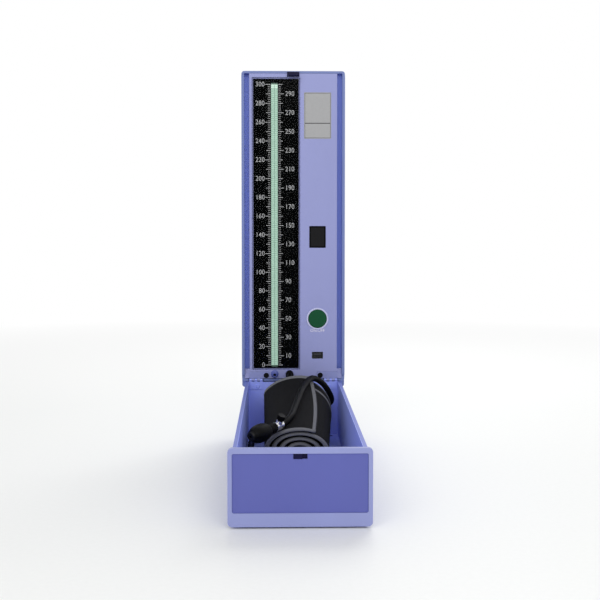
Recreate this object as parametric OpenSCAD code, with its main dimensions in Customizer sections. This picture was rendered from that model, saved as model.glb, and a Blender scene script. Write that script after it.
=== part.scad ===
// Mercury-free desk sphygmomanometer, standing open.
// X runs to the right, Y towards the back and Z up; the table is at Z = 0.
// Lengths are in millimetres. The lid stands open at rest and folds forward to close.

/* [Base] */
// Width of the front plate and of the lid
case_w = 110; // [104:1:130]
// Depth from the face of the front plate to the hinge line
case_len = 330; // [324:1:350]
// Height of the base without its feet
base_h = 60; // [58:1:70]
// Thickness of the tray's side and rear walls
tray_wall = 3.3; // [2.4:0.1:4]
// Thickness of the tray's floor
tray_floor = 3; // [2:0.1:4]
// How far the tray's sides stand in from the ends of the front plate
tray_inset = 4; // [3.8:0.1:5]
// Height of the rubber feet
foot_h = 1.5; // [1:0.1:4]
// Diameter of a rubber foot
foot_d = 12; // [8:0.5:14]
// Distance of a foot's centre from the tray's end and side
foot_in = 11; // [9:0.5:20]

/* [Front plate] */
// Thickness of the front plate
plate_t = 4; // [3.8:0.1:6]
// Corner radius of the front plate
plate_r = 3.5; // [2:0.1:5]
// Frame left around the inlay at the sides
inlay_side = 3.4; // [2.5:0.1:6]
// Frame left above the inlay
inlay_top = 4.3; // [4:0.1:5]
// Frame left below the inlay
inlay_bottom = 10.5; // [6:0.1:14]
// Thickness of the inlay
inlay_t = 1.2; // [0.8:0.1:1.4]
// Depth of the recess that holds the inlay
recess_d = 2; // [1.8:0.1:2.2]
// Diameter of the screws that hold the front plate
frame_screw_d = 2.5; // [2:0.1:3]

/* [Hinge] */
// Diameter of a hinge knuckle
knuckle_d = 3; // [2.6:0.1:3.2]
// Diameter of the hinge pin
pin_d = 1.6; // [1.2:0.1:1.8]
// Number of knuckles in each of the two hinges
knuckle_n = 5; // [3:2:7]
// Distance from the lid's middle to the inner end of each hinge's knuckles
hinge_in = 33; // [30:0.5:36]
// Height of the hinge pin above the tray's rim
hinge_rise = 1.5; // [1.5:0.1:2.5]
// Thickness of a hinge leaf
leaf_t = 0.8; // [0.6:0.1:1]
// Height of a hinge leaf
leaf_h = 9; // [8.6:0.1:10]
// Distance between the two screws in the lid's leaves
leaf_screw_gap = 58; // [56:1:62]

/* [Lid] */
// How far the closed lid's free end stands past the face of the front plate
lid_over = 0; // [0:0.5:1]
// Thickness of the lid from the panel's face to the back
lid_t = 20; // [20:0.5:26]
// Thickness of the lid's outer side walls
lid_wall = 2.8; // [2:0.1:3.6]
// Thickness of the lid's back
lid_back = 2; // [1.6:0.1:2.4]
// Width of the groove along each side of the panel
groove_w = 5.4; // [5:0.1:7]
// Depth of the groove along each side of the panel
groove_d = 7; // [5:0.1:8]
// How far the lid's side walls stand out past the panel's face
skirt_h = 3.5; // [2:0.1:4.5]
// How far the lid's heel hangs behind the tray
heel_h = 8; // [5:0.5:14]
// Thickness of the instrument panel
panel_t = 2.5; // [2.2:0.1:3]
// Corner radius of the lid
lid_r = 3; // [2:0.1:5]

/* [Scale] */
// Pressure at the top of the scale in mmHg
scale_max = 300; // [260:20:300]
// Height of the zero mark above the hinge pin
scale_zero = 16; // [15:0.5:18]
// Distance of the scale's top mark below the lid's free end
scale_top_gap = 14; // [14:0.5:24]
// Width of the black scale window
window_w = 51.7; // [46:0.1:53]
// Panel left between the window and the panel's left edge
window_margin = 2.6; // [2.4:0.1:4.8]
// Margin of the window below the zero mark
window_below = 5; // [4:0.1:6]
// Margin of the window above the top mark
window_above = 7.5; // [6:0.1:7.5]
// Thickness of the clear window
lens_t = 1.2; // [0.8:0.1:1.4]
// Width of the light column
column_w = 7.3; // [5:0.1:10]
// Distance of the light column's centre from the window's left edge
column_in = 24.2; // [20:0.1:28]
// Pressure from one light emitter to the next, in mmHg
led_step = 6; // [4:1:10]

/* [Controls] */
// Distance of the controls' centre line from the panel's right edge
control_in = 20.8; // [19.8:0.1:21.8]
// Width of the number display
display_w = 17.5; // [14:0.1:20]
// Height of the number display
display_h = 23.2; // [20:0.1:26]
// Height of the display's centre above the hinge pin
display_z = 153.8; // [150:0.1:156]
// Diameter of the power button
button_d = 19.6; // [16:0.1:20.4]
// Height of the power button's centre above the hinge pin
button_z = 66; // [60:0.5:72]
// How far the power button is pressed
button_travel = 1.2; // [0.8:0.1:1.6]
// Width of the USB socket
usb_w = 11.8; // [10:0.1:13]
// Height of the USB socket
usb_h = 7.2; // [6.5:0.1:8]
// Height of the USB socket's centre above the hinge pin
usb_z = 26.6; // [24:0.1:32]
// Panel left between the scale window and the rating plate
rating_apart = 4.1; // [3:0.1:5]
// Panel left between the rating plate and the panel's right edge
rating_in = 6.4; // [5:0.1:8]
// Height of the blank rating plate
rating_h = 49; // [40:0.5:52]
// Distance of the rating plate's centre below the lid's free end
rating_gap = 47; // [44:0.5:54]

/* [Air ports] */
// Outer diameter of the two air ports
port_d = 4.8; // [4.6:0.1:5.2]
// Bore of the two air ports
port_bore = 3.2; // [2:0.1:3.4]
// How far an air port stands out of the panel
port_len = 9; // [7:0.5:11]
// Height of the air ports above the hinge pin
port_z = 6.6; // [6.5:0.1:7]
// Distance of the open test port from the panel's centre
test_port_x = 20; // [17:0.5:21]
// Distance of the hose port from the panel's centre
hose_port_x = 4; // [3:0.5:6]

/* [Battery bay] */
// Diameter of a battery cell
cell_d = 14.2; // [13.5:0.1:14.4]
// Length of a battery cell
cell_len = 50; // [48:0.5:51]
// Height of the battery bay's centre above the hinge pin
bay_z = 208; // [204:0.5:214]
// Thickness of the battery door
door_t = 1.8; // [1.4:0.1:2]

/* [Latch] */
// Width of the slot in the front plate
slot_w = 10.6; // [10:0.1:12]
// Height of the slot in the front plate
slot_h = 4.2; // [4:0.1:4.4]
// Travel of the latch slider
slider_travel = 3.4; // [3.4:0.1:3.8]
// Width of the tongue on the lid
tongue_w = 12; // [11.6:0.1:12.4]
// Length of the tongue on the lid
tongue_len = 10.5; // [10.5:0.1:11]

/* [Bulb and valve] */
// Largest diameter of the rubber bulb
bulb_d = 16.5; // [16:0.5:18.5]
// Length of the bulb's round body
bulb_len = 28; // [25:0.5:30]
// Wall of the rubber bulb
bulb_wall = 2; // [1.6:0.1:2.4]
// Diameter of the bulb's two necks
neck_d = 9.4; // [8.8:0.1:10]
// Diameter of the release valve's body
valve_d = 8; // [7.6:0.1:8.4]
// Length of the release valve's body
valve_len = 11; // [10:0.5:11.5]
// Diameter of the release valve's knob
knob_d = 7.2; // [6.4:0.1:7.6]
// Outer diameter of the rubber hoses
hose_d = 6; // [5:0.1:6.4]

/* [Hidden] */

$fn = 48;
eps = 0.01;
// General running clearance and the fine clearance of pins and studs
gap = 0.3;
fine = 0.05;

rim_z = foot_h + base_h;
front_y = -(case_len + lid_t) / 2;
hinge_y = front_y + case_len;
lid_len = case_len + lid_over;
hinge_z = rim_z + hinge_rise;
plate_back = front_y + plate_t;
tray_half = case_w / 2 - tray_inset;
inner_half = tray_half - tray_wall;
floor_z = foot_h + tray_floor;
knuckle_r = knuckle_d / 2;

// Panel and window places, in the lid's own frame (x across, y into the lid, z up the lid)
panel_half = case_w / 2 - lid_wall - groove_w;
shell_half = case_w / 2 - lid_wall;
panel_low = knuckle_r + 0.5;
panel_high = lid_len - 2.6;
band_high = 12.2;
shell_low = -1;
scale_top = lid_len - scale_top_gap;
mark_step = (scale_top - scale_zero) / scale_max;
window_left = panel_half - window_margin;
window_right = window_w - window_left;
window_low = scale_zero - window_below;
window_high = scale_top + window_above;
column_left = window_left - column_in;
window_border = 1.6;
ledge_t = 2;
ledge_in = 2.3;
cavity_back = lid_t - lid_back;

// Front plate places
inlay_half = case_w / 2 - inlay_side;
inlay_low = foot_h + inlay_bottom;
inlay_high = rim_z - inlay_top;
slot_low = inlay_high - slot_h;
frame_screw_x = tray_half - 5;
frame_screw_low = inlay_low + 4.5;
frame_screw_high = inlay_high - 9;

// Latch places
tongue_t = 1.8;
tongue_gap = 0.2;
tongue_top = case_len - plate_t - tongue_gap;
slider_t = 1;
pocket_d = 1.2;
slider_left = -8.5;
slider_right = 11.5;
knob_left = -slot_w / 2 + 0.2;
slider_knob_w = slot_w - slider_travel - 0.6;
lug_x = tongue_w / 2 + 0.8;
spring_stop_x = 18;
spring_y = plate_back + 1.65;
spring_z = slot_low + slot_h / 2;
notch_low = slot_low + 0.4;
notch_h = 3.2;

// Screw bosses of the panel
boss_r = 3;
boss_x = panel_half - 6;
boss_zs = [24, 160, lid_len - 14];

// Controls' centre line, the rating plate's height and the depths of button and display
control_x = panel_half - control_in;
rating_left = window_right + rating_apart;
rating_right = panel_half - rating_in;
rating_z = lid_len - rating_gap;
button_r = button_d / 2;
bezel_in = button_r + 0.25;
bezel_out = button_r + 1;
bezel_flange = button_r + 2;
board_y = 8.4;
board_t = 1.4;

// Battery bay
bay_half_w = cell_d + 1.6;
bay_half_h = cell_len / 2 + 4;
bay_low = panel_t + 0.1;
bay_floor = 1;
cell_y = bay_low + bay_floor + fine + cell_d / 2;
door_half_w = bay_half_w + 4;
door_half_h = bay_half_h + 2.6;
door_face = lid_t - door_t;
door_barrel_r = 1.4;
door_pin_y = lid_t - door_barrel_r;
door_pin_z = bay_z - door_half_h + door_barrel_r;
door_pin_r = 0.7;
lug_w = 2.4;

// The bulb lies with its valve up on the cuff; the inlet valve sits in the cut-off end of its body
bulb_at = [-32.5, hinge_y - 193.1, floor_z + 40.4];
bulb_yaw = 35;
bulb_tilt = 3.5;
neck_len = 8;
inlet_in = 1;
valve_root = bulb_len / 2 + neck_len;
inlet_root = bulb_len / 2 - inlet_in;
screw_at = valve_root + valve_len / 2;
screw_roll = 25;

// The rolled cuff at its near and far end: the middle's X, the half width and the half height
cuff_len = 140;
cuff_far_y = hinge_y - 33;
cuff_near_y = cuff_far_y - cuff_len;
cuff_near = [1.8, 32.6, 20.8];
cuff_far = [5.3, 37, 35.1];
// Where the outer end lies, in degrees, and the share of the half width that its first turn takes
cuff_start = [61, 69];
cuff_first = [0.17, 0.09];
// How flat the left side is pressed: 1 is round
cuff_flat = [1, 1.2];
cuff_turns = 3.3;
cuff_pitch = 0.22;
cuff_slack = 0.035;
cuff_steps = 90;
cuff_sections = 6;

// Routes of the hoses, with Y counted from the hinge line; the left wall's hose lies at wall_x
wall_x = inner_half - hose_d / 2 - 0.9;
low_z = floor_z + hose_d / 2 + gap;
port_top = hinge_z + port_z;
// From the release valve over the cuff and into its far end
bulb_hose_route = [
    [-13.54, -166.01, 46.92], [-12.68, -164.79, 47.01], [-11.2, -162.5, 47.6], [-9, -159, 48.9],
    [-6.3, -153.6, 50.6],
    [-3.6, -146.2, 52.7], [-1.1, -131.8, 55.8], [1.4, -116.4, 59.1], [4, -100.3, 62.4],
    [6.7, -85, 65.6], [9.4, -73.6, 67.8], [12, -64, 69.6], [14.8, -55.2, 71.2], [18, -47.6, 71.8],
    [22.4, -41.2, 70.4], [27, -36.2, 67.1], [31.8, -32.2, 62.4], [36, -28.6, 56], [39, -24.4, 49.8],
    [40, -19.4, 44.4], [38.2, -14.8, 40.2], [34.4, -12, 37.6], [30, -11.8, 36.2], [25.8, -14.2, 35.6],
    [22.6, -18.8, 35.5], [21.2, -24, 35.5], [20.8, -28.4, 35.5], [20.8, -32.98, 35.5]
];
// From the lid's port down behind the cuff and along the left wall
gauge_hose_start = [
    [-hose_port_x, -11, port_top], [-hose_port_x, -14, port_top],
    [-hose_port_x, -20.4, port_top - 1.4], [-hose_port_x, -26, port_top - 6.2],
    [-hose_port_x, -28.6, port_top - 13.6], [-4, -29, 48], [-4, -29, 36], [-4.4, -29, 26],
    [-7.6, -29, 16.6], [-15, -29, 10], [-26, -30.4, low_z], [-36, -36, low_z],
    [1.8 - wall_x, -46, low_z], [-wall_x, -59, low_z], [-wall_x, -75, low_z],
    [-wall_x, -91, low_z], [-wall_x, -107, low_z], [-wall_x, -123, low_z], [-wall_x, -139, low_z],
    [-wall_x, -155, low_z], [-wall_x, -171, low_z], [-wall_x, -189, low_z], [-wall_x, -207, low_z]
];
// The hose's spare length is put away as an oval coil on the tray's floor
coil_at = [31 - wall_x, -225];
coil_half = [31, 36];
coil_step = 6.6;
// Height of the hose in the coil at an angle in degrees
function coil_lift(a) = let (rises = [for (first = [420, 780, 1140]) min(1, max(0, (a - first) / 60))])
    coil_step * (rises[0] + rises[1] + rises[2]);
gauge_hose_coil = [for (a = [180 : 20 : 1420]) [coil_at[0] + coil_half[0] * cos(a),
    coil_at[1] + coil_half[1] * sin(a), low_z + coil_lift(a)]];
gauge_hose_end = [
    [18.2, -222, 27.6], [18.6, -209, 26], [18.4, -197, 22.4], [17.6, -186, 18.4], [17.4, -179, 17.2],
    [17.4, -173.02, 17]
];
gauge_hose_route = concat(gauge_hose_start, gauge_hose_coil, gauge_hose_end);
buzzer_z = 100;
buzzer_r = 6;
led_board_half = 11;
sensor_x = control_x - 9;
sensor_y = 13.2;
// Route of the small tube from the hose port to the pressure sensor, in the lid's frame
sensor_tube_route = [
    [-hose_port_x, 7.02, port_z], [-hose_port_x, 9, port_z], [-hose_port_x + 0.4, 12, port_z + 1.4],
    [-1.6, sensor_y, 12], [2, sensor_y, 17.6], [8, sensor_y, 24], [sensor_x - 2.4, sensor_y, 29.4],
    [sensor_x, sensor_y, 33.6], [sensor_x, sensor_y, 35.98]
];

LAVENDER = [0.57, 0.60, 0.80];
INLAY_BLUE = [0.42, 0.44, 0.74];
GROOVE_BLUE = [0.34, 0.39, 0.64];
RUBBER = [0.05, 0.05, 0.06];
NAVY = [0.07, 0.07, 0.22];
STEEL = [0.75, 0.76, 0.78];

// A rectangle with round corners whose lower left corner is at the origin
module round_rect(w, h, r) {
    translate([r, 0]) square([w - 2 * r, h]);
    translate([0, r]) square([w, h - 2 * r]);
    for (x = [r, w - r], y = [r, h - r]) translate([x, y]) circle(r);
}

// A plate that stands upright: outline in X and Z, thickness along Y from y0 to y1
module upright(x0, x1, z0, z1, y0, y1, r = 0) {
    translate([x0, y1, z0]) rotate([90, 0, 0]) linear_extrude(y1 - y0) {
        if (r > 0) round_rect(x1 - x0, z1 - z0, r);
        else square([x1 - x0, z1 - z0]);
    }
}

// A cylinder along Y from y0 to y1, centred at x and z
module along_y(x, z, r, y0, y1, r2 = -1) {
    translate([x, y0, z]) rotate([-90, 0, 0])
        cylinder(h = y1 - y0, r1 = r, r2 = r2 < 0 ? r : r2);
}

// A cylinder along X from x0 to x1, centred at y and z
module along_x(y, z, r, x0, x1) {
    translate([x0, y, z]) rotate([0, 90, 0]) cylinder(h = x1 - x0, r = r);
}

module box(low, high) {
    translate(low) cube(high - low);
}

// Places the lid's own frame at the hinge pin
module on_lid() {
    translate([0, hinge_y, hinge_z]) children();
}

// Places the bulb's own frame, with +Z along the bulb towards the valve
module on_bulb() {
    translate(bulb_at) rotate([0, 0, -bulb_yaw]) rotate([bulb_tilt - 90, 0, 0]) children();
}

// Places the release screw's own frame, with +Z out of the valve along the screw
module on_screw() {
    on_bulb() translate([0, 0, screw_at]) rotate([0, 0, screw_roll]) rotate([90, 0, 0])
        children();
}

function unit(v) = v / norm(v);
function tangent(p, i) =
    i == 0 ? unit(p[1] - p[0])
    : i == len(p) - 1 ? unit(p[i] - p[i - 1])
    : unit(unit(p[i + 1] - p[i]) + unit(p[i] - p[i - 1]));
// A side vector carried along the route without twist
function side(p, i) =
    i == 0 ? unit(cross(tangent(p, 0), abs(tangent(p, 0)[0]) > 0.8 ? [0, 0, 1] : [1, 0, 0]))
    : let (s = side(p, i - 1), t = tangent(p, i)) unit(s - (s * t) * t);

// One closed tube along the points of a route
module tube(route, r, sides) {
    n = len(route);
    rings = [for (i = [0 : n - 1]) let (t = tangent(route, i), s = side(route, i), u = cross(t, s))
        for (k = [0 : sides - 1]) route[i] + r * (cos(360 * k / sides) * s + sin(360 * k / sides) * u)];
    walls = [for (i = [0 : n - 2], k = [0 : sides - 1]) let (
        a = i * sides + k, b = i * sides + (k + 1) % sides, c = a + sides, d = b + sides)
        each [[a, c, b], [b, c, d]]];
    near = [[for (k = [0 : sides - 1]) k]];
    far = [[for (k = [sides - 1 : -1 : 0]) (n - 1) * sides + k]];
    polyhedron(rings, concat(walls, near, far));
}

// A compression spring along Z, with its wire ends square to the seats
module coil(r, wire, length, turns) {
    steps = turns * 8;
    route = [for (i = [0 : steps]) [r * cos(45 * i), r * sin(45 * i),
        wire / 2 + (length - wire) * i / steps]];
    tube(route, wire / 2, 6);
}

function hinge_half() = inner_half - gap;
function knuckle_pitch() = (hinge_half() - hinge_in) / knuckle_n;
function leaf_in() = leaf_screw_gap / 2 - 3.6;

module both_sides() {
    children();
    mirror([1, 0, 0]) children();
}

// Every second knuckle of both hinges, counted from first
module knuckles(first, y, z, slack) {
    both_sides() for (i = [first : 2 : knuckle_n - 1])
        along_x(y, z, knuckle_r, hinge_in + i * knuckle_pitch() + slack,
            hinge_in + (i + 1) * knuckle_pitch() - slack);
}

// Room around every second knuckle, for the other leaf
module knuckle_room(first, y, z) {
    room = knuckle_r + gap;
    both_sides() for (i = [first : 2 : knuckle_n - 1])
        box([hinge_in + i * knuckle_pitch() - eps, y - room, z - room],
            [hinge_in + (i + 1) * knuckle_pitch() + eps, y + room, z + room]);
}

module foot_places() {
    for (x = [-1, 1] * (tray_half - foot_in), y = [plate_back + foot_in, hinge_y - foot_in])
        translate([x, y, 0]) children();
}

module frame_screw_places() {
    for (x = [-1, 1] * frame_screw_x, z = [frame_screw_low, frame_screw_high])
        translate([x, 0, z]) children();
}

module base_tray() {
    rear = hinge_y + tray_wall;
    color(LAVENDER) difference() {
        union() {
            difference() {
                box([-tray_half, plate_back, foot_h], [tray_half, rear, rim_z]);
                box([-inner_half, plate_back - 1, floor_z], [inner_half, hinge_y, rim_z + 1]);
                box([-inner_half, hinge_y - 1, rim_z - 0.6], [inner_half, rear + 1, rim_z + 1]);
            }
            for (sx = [-1, 1], z = [frame_screw_low, frame_screw_high])
                along_y(sx * frame_screw_x, z, 3.4, plate_back, plate_back + 12);
        }
        frame_screw_places() along_y(0, 0, frame_screw_d / 2 + fine, plate_back - 1, plate_back + 9);
        foot_places() translate([0, 0, foot_h - 1]) cylinder(h = tray_floor + 2, r = 2);
        both_sides() along_y(base_screw_x(), leaf_screw_z(), 1.25, hinge_y - 1,
            hinge_y + tray_wall - 0.6);
    }
}

function leaf_screw_z() = rim_z - 5;
function base_screw_x() = hinge_in + 5;

module front_frame() {
    color(LAVENDER) difference() {
        union() {
            upright(-case_w / 2, case_w / 2, foot_h, rim_z, front_y, plate_back, plate_r);
            box([spring_stop_x, plate_back - eps, spring_z - 2.6],
                [spring_stop_x + 1.6, plate_back + 3.4, spring_z + 2.6]);
        }
        upright(-inlay_half - 0.1, inlay_half + 0.1, inlay_low - 0.1, inlay_high + 0.1,
            front_y - 1, front_y + recess_d, 1.5);
        box([slider_left - 0.6, plate_back - pocket_d, slot_low - 4],
            [slider_right + slider_travel + 0.6, plate_back + eps, slot_low + slot_h + 2.2]);
        latch_slot(front_y, plate_back + 1);
        frame_screw_places() {
            along_y(0, 0, frame_screw_d / 2 + 0.2, front_y, plate_back + 1);
            along_y(0, 0, frame_screw_d + 0.3, front_y, front_y + recess_d + 0.2);
            along_y(0, 0, frame_screw_d + 0.3, front_y + recess_d + 0.2,
                front_y + recess_d + 1.4, frame_screw_d / 2 + 0.2);
        }
        for (x = retainer_xs()) along_y(x, retainer_screw_z(), 0.9, plate_back - 1.5, plate_back + 1);
    }
}

module latch_slot(y0, y1) {
    box([-slot_w / 2, y0 - eps, slot_low], [slot_w / 2 + 0.2, y1, slot_low + slot_h]);
}

module front_inlay() {
    color(INLAY_BLUE) difference() {
        upright(-inlay_half, inlay_half, inlay_low, inlay_high,
            front_y + recess_d - inlay_t, front_y + recess_d, 1.4);
        latch_slot(front_y, plate_back);
    }
}

module frame_screws() {
    color(STEEL) frame_screw_places() {
        along_y(0, 0, frame_screw_d, front_y + recess_d, front_y + recess_d + 0.2);
        along_y(0, 0, frame_screw_d, front_y + recess_d + 0.2, front_y + recess_d + 1.2,
            frame_screw_d / 2);
        along_y(0, 0, frame_screw_d / 2, front_y + recess_d + 1.2, plate_back + 8);
    }
}

module rubber_feet() {
    color(RUBBER) foot_places() {
        cylinder(h = 0.5, r1 = foot_d / 2 - 0.5, r2 = foot_d / 2);
        translate([0, 0, 0.5]) cylinder(h = foot_h - 0.5, r = foot_d / 2);
        translate([0, 0, foot_h - eps]) cylinder(h = tray_floor, r = 2 - fine);
    }
}

module hinge_leaf_base() {
    color(LAVENDER) difference() {
        union() {
            difference() {
                both_sides() box([hinge_in, hinge_y - leaf_t, rim_z - leaf_h + 0.6],
                    [hinge_half(), hinge_y, hinge_z]);
                knuckle_room(1, hinge_y, hinge_z);
            }
            knuckles(0, hinge_y, hinge_z, 0.15);
        }
        along_x(hinge_y, hinge_z, pin_d / 2 + fine, -case_w, case_w);
        both_sides() along_y(base_screw_x(), leaf_screw_z(), 1.3, hinge_y - 2, hinge_y + 1);
    }
}

module hinge_pins() {
    color(STEEL) both_sides() along_x(hinge_y, hinge_z, pin_d / 2, hinge_in, hinge_half());
}

module hinge_screws_base() {
    color(STEEL) both_sides() {
        along_y(base_screw_x(), leaf_screw_z(), 1.2, hinge_y - leaf_t - eps, hinge_y + tray_wall - 0.8);
        along_y(base_screw_x(), leaf_screw_z(), 1.8, hinge_y - leaf_t - 0.8, hinge_y - leaf_t, 2.2);
    }
}

function retainer_xs() = [-11.4, 14.8];
function retainer_screw_z() = slot_low - 6.2;

module latch_slider() {
    back = plate_back - 0.1;
    front = back - slider_t;
    color(NAVY) union() {
        box([slider_left, front, slot_low - 3.6], [slider_right, back, slot_low + slot_h + 1.8]);
        box([knob_left, front_y + 0.2, slot_low + 0.3],
            [knob_left + slider_knob_w, front + eps, slot_low + slot_h - 0.3]);
        box([lug_x, back - eps, notch_low + 0.2],
            [lug_x + 1.2, plate_back + 1.8, notch_low + notch_h - 0.4]);
        box([lug_x + 1.2 - eps, back - eps, spring_z - 1.7],
            [lug_x + 3, plate_back + 3.2, spring_z + 1.7]);
        box([tongue_w / 2 - 2.6, plate_back + 0.3, notch_low + 0.7],
            [lug_x + eps, plate_back + 1.8, notch_low + notch_h - 0.9]);
    }
}

module latch_retainer() {
    color(LAVENDER) difference() {
        box([-14, plate_back, slot_low - 8.2], [17.6, plate_back + 1.4, slot_low - 1.4]);
        for (x = retainer_xs()) along_y(x, retainer_screw_z(), 1, plate_back - 1, plate_back + 3);
    }
}

module latch_retainer_screws() {
    color(STEEL) for (x = retainer_xs()) {
        along_y(x, retainer_screw_z(), 0.85, plate_back - 1.4, plate_back + 1.4 + eps);
        along_y(x, retainer_screw_z(), 1.8, plate_back + 1.4, plate_back + 2.4, 1.5);
    }
}

module latch_spring() {
    color(STEEL) translate([lug_x + 3 + 0.02, spring_y, spring_z]) rotate([0, 90, 0])
        coil(1.2, 0.4, spring_stop_x - lug_x - 3 - 0.04, 6);
}

function mix(a, b, t) = a + (b - a) * t;
function between(ends, u) = mix(ends[0], ends[1], u);
// Share of the half width that the cuff's outer face reaches after some turns from its outer end
function cuff_reach(u, turns) = let (first = between(cuff_first, u))
    1 - first * min(turns, 1) - cuff_pitch * max(turns - 1, 0);
// A point of the cuff's spiral: u along the roll, turns from the outer end, reach its share
function cuff_point(u, turns, reach) = let (
    size = mix(cuff_near, cuff_far, u),
    start = between(cuff_start, u),
    bottom = cuff_reach(u, (270 - start) / 360),
    a = start + 360 * turns,
    across = max(-1, cos(a) * (cos(a) < 0 ? between(cuff_flat, u) : 1)))
    [size[0] + size[1] * reach * across, mix(cuff_near_y, cuff_far_y, u),
        floor_z + gap + size[2] * (bottom + reach * sin(a))];

module cuff_roll() {
    n = cuff_steps;
    ring = 2 * n;
    points = [for (s = [0 : cuff_sections - 1]) let (u = s / (cuff_sections - 1)) each concat(
        [for (i = [0 : n - 1]) let (t = cuff_turns * i / (n - 1)) cuff_point(u, t, cuff_reach(u, t))],
        [for (i = [n - 1 : -1 : 0]) let (t = cuff_turns * i / (n - 1))
            cuff_point(u, t, cuff_reach(u, t + 1) + cuff_slack)])];
    walls = [for (s = [0 : cuff_sections - 2], k = [0 : ring - 1]) let (
        a = s * ring + k, b = s * ring + (k + 1) % ring, c = a + ring, d = b + ring)
        each [[a, b, c], [b, d, c]]];
    last = (cuff_sections - 1) * ring;
    near = [for (i = [0 : n - 2]) each [[i, ring - 1 - i, i + 1],
        [i + 1, ring - 1 - i, ring - 2 - i]]];
    far = [for (i = [0 : n - 2]) each [[last + i, last + i + 1, last + ring - 1 - i],
        [last + i + 1, last + ring - 2 - i, last + ring - 1 - i]]];
    color(RUBBER) polyhedron(points, concat(walls, near, far));
}

// Radius of the bulb at a height along it, less an inset for the inner face
function bulb_r(z, inset) =
    let (f = abs(z) / (bulb_len / 2 - inset))
    f >= 1 ? 0 : (bulb_d / 2 - inset) * sqrt(1 - pow(f, 2.4));
function bulb_profile(half, inset, least) = [for (i = [0 : 24]) let (z = half * (i / 12 - 1))
    [max(least, bulb_r(z, inset)), z]];

module rubber_bulb() {
    bore = neck_d / 2 - bulb_wall;
    color(RUBBER) on_bulb() rotate_extrude($fn = 64) difference() {
        union() {
            polygon(concat([[0, -bulb_len / 2]], bulb_profile(bulb_len / 2, 0, 0.5),
                [[0, bulb_len / 2]]));
            translate([0, -inlet_root]) square([neck_d / 2, inlet_root + valve_root]);
        }
        polygon(concat([[0, -bulb_len / 2 + bulb_wall]],
            bulb_profile(bulb_len / 2 - bulb_wall, bulb_wall, 0.5),
            [[0, bulb_len / 2 - bulb_wall]]));
        translate([0, -inlet_root - 1]) square([bore, inlet_root + valve_root + 2]);
        translate([0, -bulb_len]) square([neck_d, bulb_len - inlet_root]);
    }
}

module bulb_inlet_valve() {
    bore = neck_d / 2 - bulb_wall;
    cap_h = 1.4;
    cap_r = neck_d / 2 - 0.4;
    spigot_len = 4;
    color(RUBBER) on_bulb() difference() {
        union() {
            translate([0, 0, -inlet_root - cap_h]) cylinder(h = cap_h, r1 = cap_r - 1, r2 = cap_r);
            translate([0, 0, -inlet_root - eps]) cylinder(h = spigot_len, r = bore - fine);
        }
        translate([0, 0, -inlet_root - cap_h - 1]) cylinder(h = cap_h + spigot_len + 2, r = 1.2);
    }
}

module release_valve_body() {
    bore = neck_d / 2 - bulb_wall;
    color(STEEL) difference() {
        union() {
            on_bulb() {
                translate([0, 0, valve_root - 8]) cylinder(h = 8 + eps, r = bore - fine);
                translate([0, 0, valve_root]) cylinder(h = 1.6, r = neck_d / 2 - 0.2);
                translate([0, 0, valve_root]) cylinder(h = valve_len, r = valve_d / 2);
            }
            on_screw() cylinder(h = 6.4, r = 3);
        }
        on_bulb() translate([0, 0, valve_root - 9]) cylinder(h = 9 + valve_len - 1, r = 1.2);
        on_screw() cylinder(h = 8, r = 1.8 + fine);
    }
}

module release_valve_screw() {
    grip = 18;
    color(RUBBER) on_screw() difference() {
        union() {
            translate([0, 0, 0.4]) cylinder(h = 8, r = 1.8);
            translate([0, 0, 7.4]) cylinder(h = 4.4, r = knob_d / 2);
        }
        for (i = [0 : grip - 1]) rotate([0, 0, 360 * i / grip])
            translate([knob_d / 2 + 0.25, 0, 7]) cylinder(h = 6, r = 0.55, $fn = 16);
    }
}

module bulb_hose() {
    color(RUBBER) translate([0, hinge_y, 0]) tube(bulb_hose_route, hose_d / 2, 10);
}

module gauge_hose() {
    color(RUBBER) translate([0, hinge_y, 0]) tube(gauge_hose_route, hose_d / 2, 10);
}

module lid_shell() {
    half = case_w / 2;
    color(LAVENDER) on_lid() difference() {
        union() {
            upright(-half, half, -heel_h, lid_len, tray_wall + gap, lid_t, lid_r);
            upright(-half, half, shell_low, lid_len, 0, tray_wall + gap + eps, lid_r);
            for (sx = [-1, 1]) translate([sx * (half - lid_wall / 2) - lid_wall / 2, -skirt_h, 6])
                cube([lid_wall, skirt_h + eps, case_len - plate_t - 7]);
        }
        box([-shell_half, -1, panel_low - 0.6], [shell_half, groove_d, lid_len - 2.4]);
        box([-panel_half + ledge_in, groove_d - 1, panel_low - 0.6],
            [panel_half - ledge_in, groove_d + ledge_t + 1, lid_len - 2.4]);
        box([-shell_half, groove_d + ledge_t, panel_low - 0.6], [shell_half, cavity_back, lid_len - 2.4]);
        both_sides() box([hinge_in - 1, -1, shell_low - 1],
            [hinge_half() + 1, knuckle_r + 0.7, panel_low]);
        upright(control_x - door_half_w - 0.2, control_x + door_half_w + 0.2,
            bay_z - door_half_h - 0.4, bay_z + door_half_h + 0.2, cavity_back - 1, lid_t + 1);
        for (sx = [-1, 1], z = boss_zs) {
            along_y(sx * boss_x, z, 1.4, cavity_back - 1, lid_t + 1);
            along_y(sx * boss_x, z, 2.7, lid_t - 1, lid_t + 1);
        }
    }
    color(LAVENDER) on_lid() door_hinge_lugs();
}

// Lugs in the corners of the battery opening that carry the door's pins
module door_hinge_lugs() {
    difference() {
        for (sx = [-1, 1]) translate([control_x + sx * (door_half_w + 0.2 - lug_w / 2), 0, 0])
            box([-lug_w / 2, door_pin_y - 1.5, door_pin_z - 2.2], [lug_w / 2, lid_t, door_pin_z + 1.3]);
        along_x(door_pin_y, door_pin_z, door_pin_r + fine,
            control_x - door_half_w + 0.4, control_x + door_half_w - 0.4);
    }
}

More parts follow.
